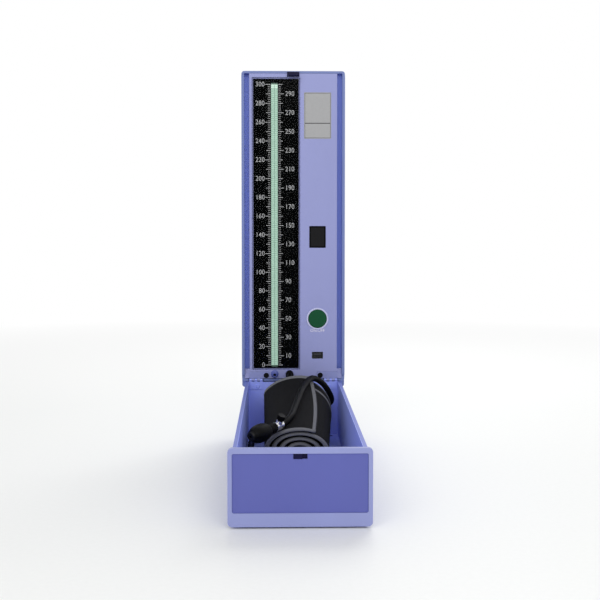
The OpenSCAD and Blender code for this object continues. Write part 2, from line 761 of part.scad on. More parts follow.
module instrument_panel() {
    color(LAVENDER) on_lid() difference() {
        union() {
            upright(-panel_half, panel_half, panel_low, panel_high, 0, panel_t);
            upright(-shell_half + 0.2, shell_half - 0.2, panel_low, band_high, 0, panel_t);
            for (sx = [-1, 1]) translate([sx * (panel_half - 1) - 1, panel_t - eps, panel_low])
                cube([2, groove_d - panel_t + eps, panel_high - panel_low]);
            for (sx = [-1, 1], z = boss_zs)
                along_y(sx * boss_x, z, boss_r, panel_t - eps, cavity_back);
            for (sx = [-1, 1])
                along_y(sx * leaf_screw_gap / 2, leaf_screw_h(), 2.4, panel_t - eps, groove_d);
        }
        upright(-window_left, window_right, window_low, window_high, -1, lens_t, 1);
        upright(-window_left + window_border, window_right - window_border,
            window_low + window_border, window_high - window_border, 0, panel_t + 1);
        upright(control_x - display_w / 2 - 0.1, control_x + display_w / 2 + 0.1,
            display_z - display_h / 2 - 0.1, display_z + display_h / 2 + 0.1, -1, panel_t + 1, 0.8);
        along_y(control_x, button_z, bezel_out + 0.1, -1, panel_t + 1);
        upright(control_x - usb_w / 2 - 0.1, control_x + usb_w / 2 + 0.1,
            usb_z - usb_h / 2 - 0.1, usb_z + usb_h / 2 + 0.1, -1, panel_t + 1, 0.6);
        upright(rating_left - 0.1, rating_right + 0.1,
            rating_z - rating_h / 2 - 0.1, rating_z + rating_h / 2 + 0.1, -1, 0.4, 1);
        for (x = [-hose_port_x, -test_port_x]) along_y(x, port_z, port_d / 2 + 0.65, -1, panel_t + 1);
        for (sx = [-1, 1]) {
            along_y(sx * leaf_screw_gap / 2, leaf_screw_h(), 1.25, -1, groove_d - 0.6);
            for (z = boss_zs) along_y(sx * boss_x, z, 1.25, cavity_back - 8, cavity_back + 1);
        }
        lid_leaf_outline(0.2, -1, leaf_t);
        box([-tongue_w / 2 - 0.7, -1, panel_high - 3.6], [tongue_w / 2 + 0.7, 0.6, panel_high + 1]);
    }
}

function leaf_screw_h() = leaf_h / 2 + 0.4;

// The lid's two leaves, grown by a margin
module lid_leaf_outline(margin, y0, y1) {
    both_sides() box([leaf_in() - margin, y0, panel_low - 0.2 - margin],
        [hinge_half() + margin, y1, leaf_h + margin]);
}

module hinge_leaf_lid() {
    color(LAVENDER) on_lid() difference() {
        union() {
            difference() {
                union() {
                    lid_leaf_outline(0, 0, leaf_t);
                    both_sides() box([hinge_in, 0, 0], [hinge_half(), leaf_t, panel_low]);
                }
                knuckle_room(0, 0, 0);
            }
            knuckles(1, 0, 0, 0.15);
        }
        along_x(0, 0, pin_d / 2 + fine, -case_w, case_w);
        for (sx = [-1, 1])
            along_y(sx * leaf_screw_gap / 2, leaf_screw_h(), 1.3, -1, leaf_t + 1);
    }
}

module hinge_screws_lid() {
    color(RUBBER) on_lid() for (sx = [-1, 1]) {
        along_y(sx * leaf_screw_gap / 2, leaf_screw_h(), 1.2, -eps, groove_d - 1);
        along_y(sx * leaf_screw_gap / 2, leaf_screw_h(), 2.3, -1.3, 0, 2.9);
    }
}

module scale_window() {
    color([0.1, 0.1, 0.11, 0.5]) on_lid() upright(-window_left + 0.1, window_right - 0.1,
        window_low + 0.1, window_high - 0.1, 0, lens_t, 0.9);
}

module scale_plate() {
    border = window_border + 0.1;
    color([0.09, 0.09, 0.1]) on_lid() difference() {
        upright(-window_left + border, window_right - border,
            window_low + border, window_high - border, lens_t, lens_t + 0.8);
        upright(-column_left - column_w / 2 - 0.1, -column_left + column_w / 2 + 0.1,
            column_low() - 0.1, column_high() + 0.1, 0, panel_t + 1, 1);
    }
}

function column_low() = scale_zero - 1.5;
function column_high() = scale_top + 1.5;

module light_column() {
    color([0.66, 0.83, 0.74]) on_lid() upright(-column_left - column_w / 2,
        -column_left + column_w / 2, column_low(), column_high(), lens_t, panel_t + 0.5, 0.9);
}

module led_board() {
    color("darkgreen") on_lid() difference() {
        box([-column_left - led_board_half, panel_t + 1.5, window_low + 2],
            [-column_left + led_board_half, panel_t + 2.9, window_high - 2]);
        for (z = boss_zs) along_y(-boss_x, z, boss_r + 0.3, 0, lid_t);
    }
}

module led_row() {
    color("white") on_lid() for (p = [0 : led_step : scale_max])
        translate([-column_left, panel_t + 0.7, scale_zero + p * mark_step])
            box([-1.4, 0, -0.8], [1.4, 0.8, 0.8]);
}

module control_board() {
    color("darkgreen") on_lid() difference() {
        box([control_x - 17, board_y, usb_z - 10.6],
            [boss_x - boss_r - 0.8, board_y + board_t, display_z + display_h / 2 + 4]);
        along_y(control_x, button_z, 1, 0, lid_t);
    }
}

module display_module() {
    color([0.12, 0.12, 0.12]) on_lid() union() {
        difference() {
            upright(control_x - display_w / 2, control_x + display_w / 2,
                display_z - display_h / 2, display_z + display_h / 2, 0.2, board_y, 0.7);
            upright(control_x - display_w / 2 + 1.2, control_x + display_w / 2 - 1.2,
                display_z - display_h / 2 + 1.2, display_z + display_h / 2 - 1.2, -1, 1.5);
        }
    }
}

module display_window() {
    color([0.2, 0.2, 0.2, 0.5]) on_lid() upright(control_x - display_w / 2 + 1.3,
        control_x + display_w / 2 - 1.3, display_z - display_h / 2 + 1.3,
        display_z + display_h / 2 - 1.3, 0.5, 1.5);
}

module power_button() {
    color([0, 0.31, 0.18]) on_lid() {
        along_y(control_x, button_z, button_r - 0.6, -1.2, -0.6, button_r);
        along_y(control_x, button_z, button_r, -0.6, 1.2);
        along_y(control_x, button_z, 2.2, 1.2, board_y - 2.6 - button_travel);
    }
}

module button_bezel() {
    color([0.75, 0.77, 0.88]) on_lid() difference() {
        union() {
            along_y(control_x, button_z, bezel_flange - 0.3, -0.8, -0.4, bezel_flange);
            along_y(control_x, button_z, bezel_flange, -0.4, 0);
            along_y(control_x, button_z, bezel_out, -eps, panel_t + 1.5);
        }
        along_y(control_x, button_z, bezel_in, -2, panel_t + 3);
    }
}

module button_spring() {
    length = board_y - 1.24 - 0.02;
    color(STEEL) on_lid() translate([control_x, 1.22, button_z]) rotate([-90, 0, 0])
        coil(4.4, 0.6, length, 4);
}

module button_switch() {
    top = board_y - 2.6;
    color([0.1, 0.1, 0.1]) on_lid() {
        box([control_x - 2.8, top + 0.6, button_z - 2.8], [control_x + 2.8, board_y, button_z + 2.8]);
        along_y(control_x, button_z, 1.6, top, top + 0.6 + eps);
    }
}

module usb_socket() {
    w = usb_w / 2;
    h = usb_h / 2;
    color([0.25, 0.25, 0.27]) on_lid() difference() {
        box([control_x - w, 0.2, usb_z - h], [control_x + w, board_y, usb_z + h]);
        difference() {
            box([control_x - w + 0.7, -1, usb_z - h + 0.7],
                [control_x + w - 0.7, board_y - 1, usb_z + h - 0.7]);
            box([control_x - w + 1.6, 1.2, usb_z + 0.2], [control_x + w - 1.6, board_y, usb_z + 2]);
        }
    }
}

module rating_plate() {
    color([0.67, 0.67, 0.67]) on_lid() upright(rating_left, rating_right,
        rating_z - rating_h / 2, rating_z + rating_h / 2, -0.1, 0.4, 0.9);
}

// An air port with its flange on the panel's face and a short tail behind
module air_port(x, tail) {
    on_lid() difference() {
        union() {
            along_y(x, port_z, port_d / 2, -port_len, 0);
            along_y(x, port_z, port_d / 2 + 1.6, -1, -0.4, port_d / 2 + 1.8);
            along_y(x, port_z, port_d / 2 + 1.8, -0.4, 0);
            along_y(x, port_z, port_d / 2 + 0.6, -eps, panel_t + 1.5);
            along_y(x, port_z, 1.8, panel_t, tail);
        }
        along_y(x, port_z, port_bore / 2, -port_len - 1, panel_t - 1);
        along_y(x, port_z, 0.8, 0, tail + 1);
    }
}

module hose_port() {
    color(INLAY_BLUE) air_port(-hose_port_x, 7);
}

module test_port() {
    color(INLAY_BLUE) air_port(-test_port_x, 5);
}

module hose_connector() {
    color(RUBBER) on_lid() difference() {
        union() {
            along_y(-hose_port_x, port_z, port_d / 2 + 1.5, -11, -10, port_d / 2 + 1.8);
            along_y(-hose_port_x, port_z, port_d / 2 + 1.8, -10, -1);
        }
        along_y(-hose_port_x, port_z, port_d / 2 + fine, -port_len - 0.3, 0);
        along_y(-hose_port_x, port_z, 1.6, -12, 0);
    }
}

module pressure_sensor() {
    back = board_y + board_t;
    color([0.15, 0.15, 0.16]) on_lid() {
        box([sensor_x - 5, back, 38.1], [sensor_x + 5, back + 4.6, 48]);
        translate([sensor_x, sensor_y, 36]) cylinder(h = 2.2, r = 1.4);
    }
}

module sensor_tube() {
    color([0.85, 0.85, 0.85]) on_lid() tube(sensor_tube_route, 1.4, 8);
}

module buzzer() {
    back = board_y + board_t;
    color([0.08, 0.08, 0.08]) on_lid() difference() {
        along_y(control_x + 4, buzzer_z, buzzer_r, back, back + 4.5);
        along_y(control_x + 4, buzzer_z, 1, back + 3, back + 5);
    }
}

module battery_tray() {
    w = bay_half_w;
    h = bay_half_h;
    color([0.2, 0.2, 0.22]) on_lid() difference() {
        box([control_x - w, bay_low, bay_z - h],
            [control_x + w, door_pin_y - door_barrel_r - gap, bay_z + h]);
        box([control_x - w + 1.2, bay_low + bay_floor, bay_z - h + 1.2],
            [control_x + w - 1.2, lid_t, bay_z + h - 1.2]);
    }
}

// Places one child at each cell, with +Z along the cell
module cell_places() {
    for (s = [-1, 1]) translate([control_x + s * (cell_d + 0.3) / 2, cell_y, bay_z])
        rotate([0, 90 - 90 * s, 0]) children();
}

module batteries() {
    color([0.3, 0.32, 0.36]) on_lid() cell_places() {
        translate([0, 0, -cell_len / 2]) cylinder(h = cell_len - 1, r = cell_d / 2);
        translate([0, 0, cell_len / 2 - 1 - eps]) cylinder(h = 1 + eps, r = 2.7);
    }
}

module battery_springs() {
    color(STEEL) on_lid() cell_places() translate([0, 0, -bay_half_h + 1.6])
        coil(3.6, 0.5, bay_half_h - cell_len / 2 - 1.64, 3);
}

module battery_contacts() {
    color(STEEL) on_lid() cell_places() {
        box([-5, -5, -bay_half_h + 1.2], [5, 5, -bay_half_h + 1.6]);
        difference() {
            box([-5, -5, cell_len / 2 + 0.04], [5, 5, bay_half_h - 1.2]);
            box([-6, -4, cell_len / 2 + 0.5], [6, 6, bay_half_h - 1.6]);
        }
    }
}

module battery_door() {
    notch = lug_w + 0.5;
    inner = door_half_w - notch;
    color(LAVENDER) on_lid() difference() {
        union() {
            box([control_x - door_half_w, door_face, door_pin_z + 2],
                [control_x + door_half_w, lid_t, bay_z + door_half_h]);
            box([control_x - inner, door_face, door_pin_z],
                [control_x + inner, lid_t, door_pin_z + 2 + eps]);
            along_x(door_pin_y, door_pin_z, door_barrel_r, control_x - inner, control_x + inner);
            along_x(door_pin_y, door_pin_z, door_pin_r, control_x - inner - 1.8, control_x + inner + 1.8);
            box([control_x - 4, door_face - 1.6, bay_z + door_half_h - 1.8],
                [control_x + 4, door_face + eps, bay_z + door_half_h - 0.6]);
        }
        for (i = [0 : 3]) box([control_x - 7, lid_t - 0.5, bay_z + door_half_h - 9 + 1.6 * i],
            [control_x + 7, lid_t + 1, bay_z + door_half_h - 8.2 + 1.6 * i]);
    }
}

module panel_screws() {
    color(STEEL) on_lid() for (sx = [-1, 1], z = boss_zs) {
        along_y(sx * boss_x, z, 1.2, cavity_back - 7, lid_t - 1 + eps);
        along_y(sx * boss_x, z, 2.5, lid_t - 1, lid_t - 0.1, 2.2);
    }
}

module latch_striker() {
    half = tongue_w / 2;
    color(NAVY) on_lid() difference() {
        union() {
            box([-half - 0.5, -1, tongue_top - 1.9], [half + 0.5, 0, tongue_top + 3.2]);
            box([-half - 0.5, -eps, panel_high - 3.5], [half + 0.5, 0.5, panel_high]);
            box([-half, -tongue_len, tongue_top - tongue_t], [half, -1 + eps, tongue_top]);
        }
        box([half - 3, notch_low - hinge_z, tongue_top - 3],
            [half + 1, notch_low - hinge_z + notch_h, tongue_top + 1]);
    }
}

base_tray();
front_frame();
front_inlay();
frame_screws();
rubber_feet();
hinge_leaf_base();
hinge_pins();
hinge_screws_base();
latch_slider();
latch_retainer();
latch_retainer_screws();
latch_spring();
cuff_roll();
rubber_bulb();
bulb_inlet_valve();
release_valve_body();
release_valve_screw();
bulb_hose();
gauge_hose();
lid_shell();
instrument_panel();
scale_window();
scale_plate();
light_column();
led_board();
led_row();
control_board();
display_module();
display_window();
power_button();
button_bezel();
button_spring();
button_switch();
usb_socket();
rating_plate();
hose_port();
test_port();
hose_connector();
pressure_sensor();
sensor_tube();
buzzer();
battery_tray();
batteries();
battery_springs();
battery_contacts();
battery_door();
panel_screws();
hinge_leaf_lid();
hinge_screws_lid();
latch_striker();
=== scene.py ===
"""Studio scene of a desk sphygmomanometer that reads with a column of light.

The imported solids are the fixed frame. This script gives the moulded, rubber and metal solids their
finishes, and adds the sewn cuff, the bulb, the hoses and the printed scale as pieces of their own.
Sizes in the classes are in millimetres, unless they say metres; every mesh is written in metres.
"""

import logging
import math
from dataclasses import dataclass
from enum import Enum
from typing import Any, Callable, Iterable, Sequence

import bmesh
import bpy
from mathutils import Matrix, Vector


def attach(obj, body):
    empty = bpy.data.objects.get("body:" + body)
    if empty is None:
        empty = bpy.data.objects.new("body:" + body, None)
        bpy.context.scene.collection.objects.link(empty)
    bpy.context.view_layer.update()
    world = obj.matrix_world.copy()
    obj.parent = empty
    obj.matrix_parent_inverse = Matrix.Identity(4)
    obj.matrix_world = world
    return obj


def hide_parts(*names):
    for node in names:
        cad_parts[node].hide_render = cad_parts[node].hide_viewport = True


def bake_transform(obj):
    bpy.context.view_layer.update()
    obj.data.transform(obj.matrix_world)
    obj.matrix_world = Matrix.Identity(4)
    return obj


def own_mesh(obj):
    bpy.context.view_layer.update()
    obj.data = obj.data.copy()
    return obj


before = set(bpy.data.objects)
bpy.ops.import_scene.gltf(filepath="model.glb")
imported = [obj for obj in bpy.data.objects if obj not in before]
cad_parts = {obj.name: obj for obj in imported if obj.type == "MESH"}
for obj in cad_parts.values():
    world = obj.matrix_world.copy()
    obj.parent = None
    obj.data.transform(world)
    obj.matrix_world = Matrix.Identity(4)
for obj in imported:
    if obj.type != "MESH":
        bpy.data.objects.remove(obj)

LOG = logging.getLogger("sphygmomanometer")
MM = 0.001
PER_METRE = 1000.0
HINGE = (0.0, 155.0, 63.0)
FONT_HEIGHT = 1.42
LETTER_WIDTH = 0.88
LETTER_SPACING = 1.02
INK_DEPTH = 0.05
WHITE = (1.0, 1.0, 1.0)

Rgb = tuple[float, float, float]
Point = tuple[float, float, float]
Pair = tuple[float, float]


def srgb(*display: int) -> Rgb:
    """Turns a display colour, with parts from 0 to 255, into a linear one."""
    parts = (value / 255 for value in display)
    return tuple(p / 12.92 if p <= 0.04045 else ((p + 0.055) / 1.055) ** 2.4 for p in parts)


def tint(colour: Rgb, factor: float) -> Rgb:
    """A colour with each part times a factor, kept from 0 to 1."""
    return tuple(min(1.0, part * factor) for part in colour)


def ramp(low: float, high: float, value: float) -> float:
    """A smooth step from 0 at low to 1 at high."""
    share = min(1.0, max(0.0, (value - low) / (high - low)))
    return share * share * (3 - 2 * share)


def mix(ends: Sequence[float], share: float) -> float:
    """The value a share of the way from the first end to the second."""
    return ends[0] + (ends[1] - ends[0]) * share


def on_lid(x: float, depth: float, height: float) -> Vector:
    """A point of the open lid in metres: across, into the lid and up from the hinge pin."""
    return Vector((HINGE[0] + x, HINGE[1] + depth, HINGE[2] + height)) * MM


def press_with_lid(piece: bpy.types.Object) -> None:
    """Gives a soft piece in the tray its own copy of its mesh."""
    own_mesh(piece)


class Body(Enum):
    """The bodies that carry the scene's own pieces."""

    BASE = "base"
    LID = "lid"


def operator(operation: str, swapped: bool = False) -> Callable[["Val", Any], "Val"]:
    """Makes a method that joins a socket and another term with one maths node.

    Args:
        operation: The maths node's operation.
        swapped: Whether the other term comes first.

    Returns:
        The method.
    """
    def combine(self: "Val", other: Any) -> "Val":
        """Adds the maths node."""
        return self.apply(operation, *((other, self) if swapped else (self, other)))

    return combine


class Val:
    """A shader socket that takes part in Python expressions."""

    __add__, __radd__ = operator("ADD"), operator("ADD", swapped=True)
    __sub__, __rsub__ = operator("SUBTRACT"), operator("SUBTRACT", swapped=True)
    __mul__, __rmul__ = operator("MULTIPLY"), operator("MULTIPLY", swapped=True)
    __truediv__, __rtruediv__ = operator("DIVIDE"), operator("DIVIDE", swapped=True)
    most, least, above = operator("MAXIMUM"), operator("MINIMUM"), operator("GREATER_THAN")

    def __init__(self, graph: "Graph", socket: bpy.types.NodeSocket) -> None:
        """Keeps the socket and the graph that it belongs to."""
        self.graph = graph
        self.socket = socket

    def apply(self, operation: str, *terms: Any) -> "Val":
        """Adds one maths node.

        Args:
            operation: The maths node's operation.
            *terms: Sockets or numbers, in the node's order.

        Returns:
            The node's result.
        """
        vector = any(isinstance(t, Val) and t.socket.type in ("VECTOR", "RGBA") for t in terms)
        kind = "ShaderNodeVectorMath" if vector else "ShaderNodeMath"
        single = not vector or operation in ("DOT_PRODUCT", "LENGTH")
        node = self.graph.add(kind, {"operation": operation}, dict(enumerate(terms)))
        return Val(self.graph, node.outputs["Value" if single else "Vector"])

    def wave(self) -> "Val":
        """The sine of the value in radians."""
        return self.apply("SINE", self)

    def size(self) -> "Val":
        """The value without its sign."""
        return self.apply("ABSOLUTE", self)

    def limit(self) -> "Val":
        """The value kept from 0 to 1."""
        return self.most(0.0).least(1.0)

    def rise(self, level: float, slope: float = 2.0) -> "Val":
        """0 up to a level, then up to 1 at a slope."""
        return ((self - level) * slope).limit()

    def fall(self, level: float) -> "Val":
        """1 until half a unit before a level, and 0 from the level on."""
        return ((level - self) * 2.0).limit()


class Graph:
    """Writes the node tree of one material or of the world."""

    def __init__(self, tree: bpy.types.NodeTree) -> None:
        """Empties the tree and keeps it."""
        self.tree = tree
        tree.nodes.clear()

    def add(self, kind: str, settings: dict[str, Any] | None = None,
            inputs: dict[Any, Any] | None = None) -> bpy.types.Node:
        """Adds a node.

        Args:
            kind: The node's type name.
            settings: Properties that are set first.
            inputs: A value or a Val for each named or numbered socket.

        Returns:
            The new node.
        """
        node = self.tree.nodes.new(kind)
        for name, value in (settings or {}).items():
            setattr(node, name, value)
        for key, value in (inputs or {}).items():
            self._feed(node.inputs[key], value)
        return node

    def _feed(self, socket: bpy.types.NodeSocket, value: Any) -> None:
        """Links a Val to a socket, or writes a number, vector or colour to it.

        Args:
            socket: The socket that is fed.
            value: What it gets.
        """
        if isinstance(value, Val):
            self.tree.links.new(value.socket, socket)
        elif isinstance(value, (tuple, list, Vector)):
            socket.default_value = (*value, 1.0) if socket.type == "RGBA" else tuple(value)
        elif socket.type == "VECTOR":
            socket.default_value = (value, value, value)
        else:
            socket.default_value = value

    def out(self, node: bpy.types.Node, key: Any = 0) -> Val:
        """One output of a node as a Val."""
        return Val(self, node.outputs[key])

    def place(self) -> Val:
        """The surface point in the piece's own frame, in metres."""
        return self.out(self.add("ShaderNodeTexCoord"), "Object")

    def stretched(self, x: float, y: float, z: float) -> Val:
        """The surface point with each axis scaled."""
        return self.place() * (x, y, z)

    def parts(self, vector: Val) -> tuple[Val, Val, Val]:
        """The three numbers of a vector."""
        node = self.add("ShaderNodeSeparateXYZ", None, {0: vector})
        return tuple(self.out(node, index) for index in range(3))

    def named(self, attribute: str) -> Val:
        """A vector that the mesh carries by name."""
        return self.out(self.add("ShaderNodeAttribute", {"attribute_name": attribute}), "Vector")

    def noise(self, scale: float, detail: float = 2.0, where: Val | None = None) -> Val:
        """Cloudy noise about 0.5.

        Args:
            scale: Waves in a metre.
            detail: Octaves of finer noise.
            where: The point that is looked up; the piece's own frame if left out.

        Returns:
            The noise value.
        """
        inputs = {"Vector": where or self.place(), "Scale": scale, "Detail": detail}
        return self.out(self.add("ShaderNodeTexNoise", None, inputs))

    def spots(self, scale: float) -> Val:
        """Distance to the nearest of scattered points, for grain and pitting."""
        node = self.add("ShaderNodeTexVoronoi", None, {"Vector": self.place(), "Scale": scale})
        return self.out(node, "Distance")

    def blend(self, share: Any, first: Any, second: Any) -> Val:
        """A colour between two colours, the second where share is 1."""
        node = self.add("ShaderNodeMix", {"data_type": "RGBA"}, {0: share, 6: first, 7: second})
        return self.out(node, 2)

    def edges(self, radius: float) -> Val:
        """Finds the sharp edges.

        Args:
            radius: How far an edge reaches, in metres.

        Returns:
            About 1 along sharp edges and 0 on flat faces.
        """
        rounded = self.add("ShaderNodeBevel", {"samples": 4}, {"Radius": radius})
        plain = self.out(self.add("ShaderNodeNewGeometry"), "Normal")
        straight = self.out(rounded)
        return ((1.0 - straight.apply("DOT_PRODUCT", straight, plain)) * 5.0).limit()

    def bump(self, height: Val, depth: float, strength: float = 1.0) -> Val:
        """A bumped normal from a height between 0 and 1 and a depth in metres."""
        inputs = {"Strength": strength, "Distance": depth, "Height": height}
        return self.out(self.add("ShaderNodeBump", None, inputs))

    def surface(self, sockets: dict[str, Any]) -> None:
        """Ends the tree in one plain shader with these sockets set."""
        shader = self.add("ShaderNodeBsdfPrincipled", None, sockets)
        self.add("ShaderNodeOutputMaterial", None, {"Surface": self.out(shader)})


@dataclass(frozen=True)
class Finish:
    """What every finish has: a name, a main colour and a roughness."""

    name: str
    tone: Rgb
    rough: float = 0.4

    def material(self) -> bpy.types.Material:
        """The finish's material, made at its first use."""
        found = bpy.data.materials.get(self.name)
        if found is None:
            found = bpy.data.materials.new(self.name)
            found.use_nodes = True
            self.paint(Graph(found.node_tree))
        return found

    def paint(self, graph: Graph) -> None:
        """Writes the nodes; each kind of finish has its own.

        Args:
            graph: The material's node tree.
        """
        raise NotImplementedError


@dataclass(frozen=True)
class PaintedLightHollow:
    """A hollow whose faces get painted light, a lighter colour that lifts the shade that falls in it: its
    bounds in millimetres, across from the middle.
    """

    # The painted light: a lighter colour that stands in for light in the hollow's shade.
    colour: Rgb
    across: Pair
    depth: Pair
    height: Pair

    def share(self, graph: Graph) -> Val:
        """Finds the hollow's faces.

        Args:
            graph: The material's node tree.

        Returns:
            How far a point is inside the hollow, from 0 to 1.
        """
        x, depth, height = graph.parts(graph.place() * PER_METRE)
        across = x.size()
        return (depth.rise(self.depth[0], 1.0) * depth.fall(self.depth[1])
                * across.rise(self.across[0]) * across.fall(self.across[1])
                * height.rise(self.height[0]) * height.fall(self.height[1]))


@dataclass(frozen=True)
class Moulded(Finish):
    """Moulded plastic: spark grain, faint flow marks, rubbed edges and fine scratches, with painted light
    in a hollow where one is given.
    """

    grain: float = 0.35
    depth: float = 0.012
    wear: float = 0.5
    gloss: float = 0.15
    shine: float = 0.45
    painted_light: PaintedLightHollow | None = None

    def paint(self, graph: Graph) -> None:
        """Writes the nodes of a moulded plastic.

        Args:
            graph: The material's node tree.
        """
        flow = graph.noise(1.0, 3.0, graph.stretched(22.0, 22.0, 9.0))
        speck = graph.noise(1 / (self.grain * MM), 1.0)
        rub = graph.noise(160.0, 4.0)
        lines = graph.noise(1.0, 1.0, graph.stretched(30.0, 60.0, 2600.0))
        scratch = (lines - 0.66).limit() * 4.0
        edge = (graph.edges(0.5 * MM) * (0.35 + rub)).limit()
        base = graph.blend(flow, tint(self.tone, 0.93), tint(self.tone, 1.05))
        base = graph.blend((speck - 0.45).limit() * 0.35, base, tint(self.tone, 0.84))
        base = graph.blend(edge * self.wear, base, tint(self.tone, 1.28))
        # Painted light: a lighter colour inside the hollow lifts the shade that falls there.
        if self.painted_light:
            base = graph.blend(self.painted_light.share(graph), base, self.painted_light.colour)
        worn = flow * 0.09 + rub * 0.05 - edge * 0.08 + scratch * 0.12
        graph.surface({
            "Base Color": base,
            "Roughness": (worn + (self.rough - 0.07)).limit(),
            "Normal": graph.bump(speck + scratch * 0.5, self.depth * MM * 4, 0.6),
            "Coat Weight": self.gloss,
            "Coat Roughness": 0.25,
            "Specular IOR Level": self.shine,
        })


@dataclass(frozen=True)
class Rubber(Finish):
    """Dull moulded rubber with a pale bloom in patches and a fine skin."""

    bloom: float = 0.25
    grain: float = 0.25

    def paint(self, graph: Graph) -> None:
        """Writes the nodes of a rubber.

        Args:
            graph: The material's node tree.
        """
        patch = graph.noise(55.0, 4.0)
        skin = graph.noise(1 / (self.grain * MM), 2.0)
        dust = (graph.noise(900.0, 2.0) - 0.62).limit() * 3.0
        base = graph.blend(patch, tint(self.tone, 0.8), tint(self.tone, 1.25))
        pale = ((patch - 0.5).limit() * 2.0 + dust * 0.3).limit() * self.bloom
        base = graph.blend(pale, base, srgb(96, 96, 100))
        graph.surface({
            "Base Color": base,
            "Roughness": (self.rough + (patch - 0.5) * 0.22 + skin * 0.06).limit(),
            "Normal": graph.bump(skin + patch * 0.5, 0.03 * MM, 0.7),
            "Specular IOR Level": 0.08,
            "Coat Weight": 0.02,
            "Coat Roughness": 0.35,
        })


@dataclass(frozen=True)
class Metal(Finish):
    """Plated or plain metal with fine turning lines and handling marks."""

    lines: float = 0.15

    def paint(self, graph: Graph) -> None:
        """Writes the nodes of a metal.

        Args:
            graph: The material's node tree.
        """
        haze = graph.noise(240.0, 3.0)
        turned = graph.noise(1.0, 1.0, graph.stretched(900.0, 900.0, 9000.0))
        spot = (0.16 - graph.spots(1400.0)).limit() * 3.0
        base = graph.blend(haze, tint(self.tone, 0.9), tint(self.tone, 1.04))
        graph.surface({
            "Base Color": graph.blend(spot.limit(), base, tint(self.tone, 0.6)),
            "Metallic": 1.0,
            "Roughness": (self.rough + (haze - 0.5) * 0.12 + turned * self.lines * 0.3).limit(),
            "Normal": graph.bump(turned, 0.01 * MM, self.lines),
        })


@dataclass(frozen=True)
class Woven(Finish):
    """Plain-woven nylon, looked up by the lengths that the mesh carries as "weave"."""

    thread: float = 0.55
    fuzz: float = 0.1
    ribbed: bool = False

    def paint(self, graph: Graph) -> None:
        """Writes the nodes of a woven cloth.

        Args:
            graph: The material's node tree.
        """
        along, across, _ = graph.parts(graph.named("weave"))
        turn = 2 * math.pi / (self.thread * MM)
        wander = graph.noise(120.0, 2.0)
        warp = (along * turn + wander * 1.5).wave()
        weft = (across * turn + wander * 1.5).wave()
        height = warp * 0.5 + 0.5 if self.ribbed else warp * weft * 0.5 + 0.5
        worn = graph.noise(38.0, 4.0)
        lint = (graph.noise(2600.0, 1.0) - 0.70).limit() * 4.0
        base = graph.blend(height.limit(), tint(self.tone, 0.72), tint(self.tone, 1.22))
        base = graph.blend((worn - 0.5).limit() * 0.9, base, tint(self.tone, 1.7))
        base = graph.blend(lint.limit() * 0.12, base, srgb(120, 120, 124))
        graph.surface({
            "Base Color": base,
            "Roughness": (self.rough - height * 0.12 + worn * 0.1).limit(),
            "Normal": graph.bump(height + worn * 0.6, 0.09 * MM, 0.8),
            "Sheen Weight": self.fuzz,
            "Sheen Roughness": 0.5,
            "Specular IOR Level": 0.1,
        })


@dataclass(frozen=True)
class Clear(Finish):
    """Tinted clear plastic that lets most of what lies behind it show."""

    cover: float = 0.16

    def paint(self, graph: Graph) -> None:
        """Writes the nodes of a clear plastic.

        Args:
            graph: The material's node tree.
        """
        smear = graph.noise(45.0, 4.0)
        dust = (graph.noise(1500.0, 1.0) - 0.70).limit() * 4.0
        graph.surface({
            "Base Color": graph.blend(smear, tint(self.tone, 0.8), tint(self.tone, 1.3)),
            "Alpha": (self.cover + (smear - 0.5) * 0.05 + dust * 0.04).limit(),
            "Roughness": (self.rough + smear * 0.08 + dust * 0.08).limit(),
            "Normal": graph.bump(smear, 0.02 * MM, 0.15),
            "Specular IOR Level": 0.12,
        })


@dataclass(frozen=True)
class Glowing(Finish):
    """Lit diffuser plastic with a faint cloud and a frosted face."""

    power: float = 0.55

    def paint(self, graph: Graph) -> None:
        """Writes the nodes of a lit plastic.

        Args:
            graph: The material's node tree.
        """
        cloud = graph.noise(400.0, 2.0)
        frost = graph.noise(4200.0, 1.0)
        shown = graph.blend(cloud, tint(self.tone, 0.9), tint(self.tone, 1.1))
        graph.surface({
            "Base Color": graph.blend(frost, tint(self.tone, 0.55), tint(self.tone, 0.7)),
            "Emission Color": shown,
            "Emission Strength": self.power,
            "Roughness": (self.rough + frost * 0.1).limit(),
            "Normal": graph.bump(frost, 0.02 * MM, 0.4),
        })


@dataclass(frozen=True)
class Printed(Finish):
    """Screen-printed ink or a printed plate, with a slightly uneven coat."""

    metallic: float = 0.0

    def paint(self, graph: Graph) -> None:
        """Writes the nodes of a print.

        Args:
            graph: The material's node tree.
        """
        coat = graph.noise(900.0, 3.0)
        brushed = graph.noise(1.0, 1.0, graph.stretched(120.0, 120.0, 6000.0))
        base = graph.blend(coat, tint(self.tone, 0.88), tint(self.tone, 1.06))
        shine = (brushed - 0.5).limit() * self.metallic
        graph.surface({
            "Base Color": graph.blend(shine, base, tint(self.tone, 1.3)),
            "Metallic": self.metallic * 0.5,
            "Roughness": (self.rough + (coat - 0.5) * 0.16).limit(),
            "Normal": graph.bump(coat + brushed * self.metallic, 0.01 * MM, 0.5),
        })


@dataclass(frozen=True)
class Circuit(Finish):
    """Green circuit board with copper tracks under the lacquer."""

    def paint(self, graph: Graph) -> None:
        """Writes the nodes of a circuit board.

        Args:
            graph: The material's node tree.
        """
        x, _, z = graph.parts(graph.place() * PER_METRE)
        track = ((x * 2.4).wave() * (z * 1.1).wave()).size().above(0.82)
        cloud = graph.noise(300.0, 2.0)
        base = graph.blend(cloud, tint(self.tone, 0.85), tint(self.tone, 1.1))
        graph.surface({
            "Base Color": graph.blend(track * 0.5, base, tint(self.tone, 2.2)),
            "Roughness": (self.rough + cloud * 0.1).limit(),
            "Normal": graph.bump(track, 0.03 * MM, 0.5),
        })


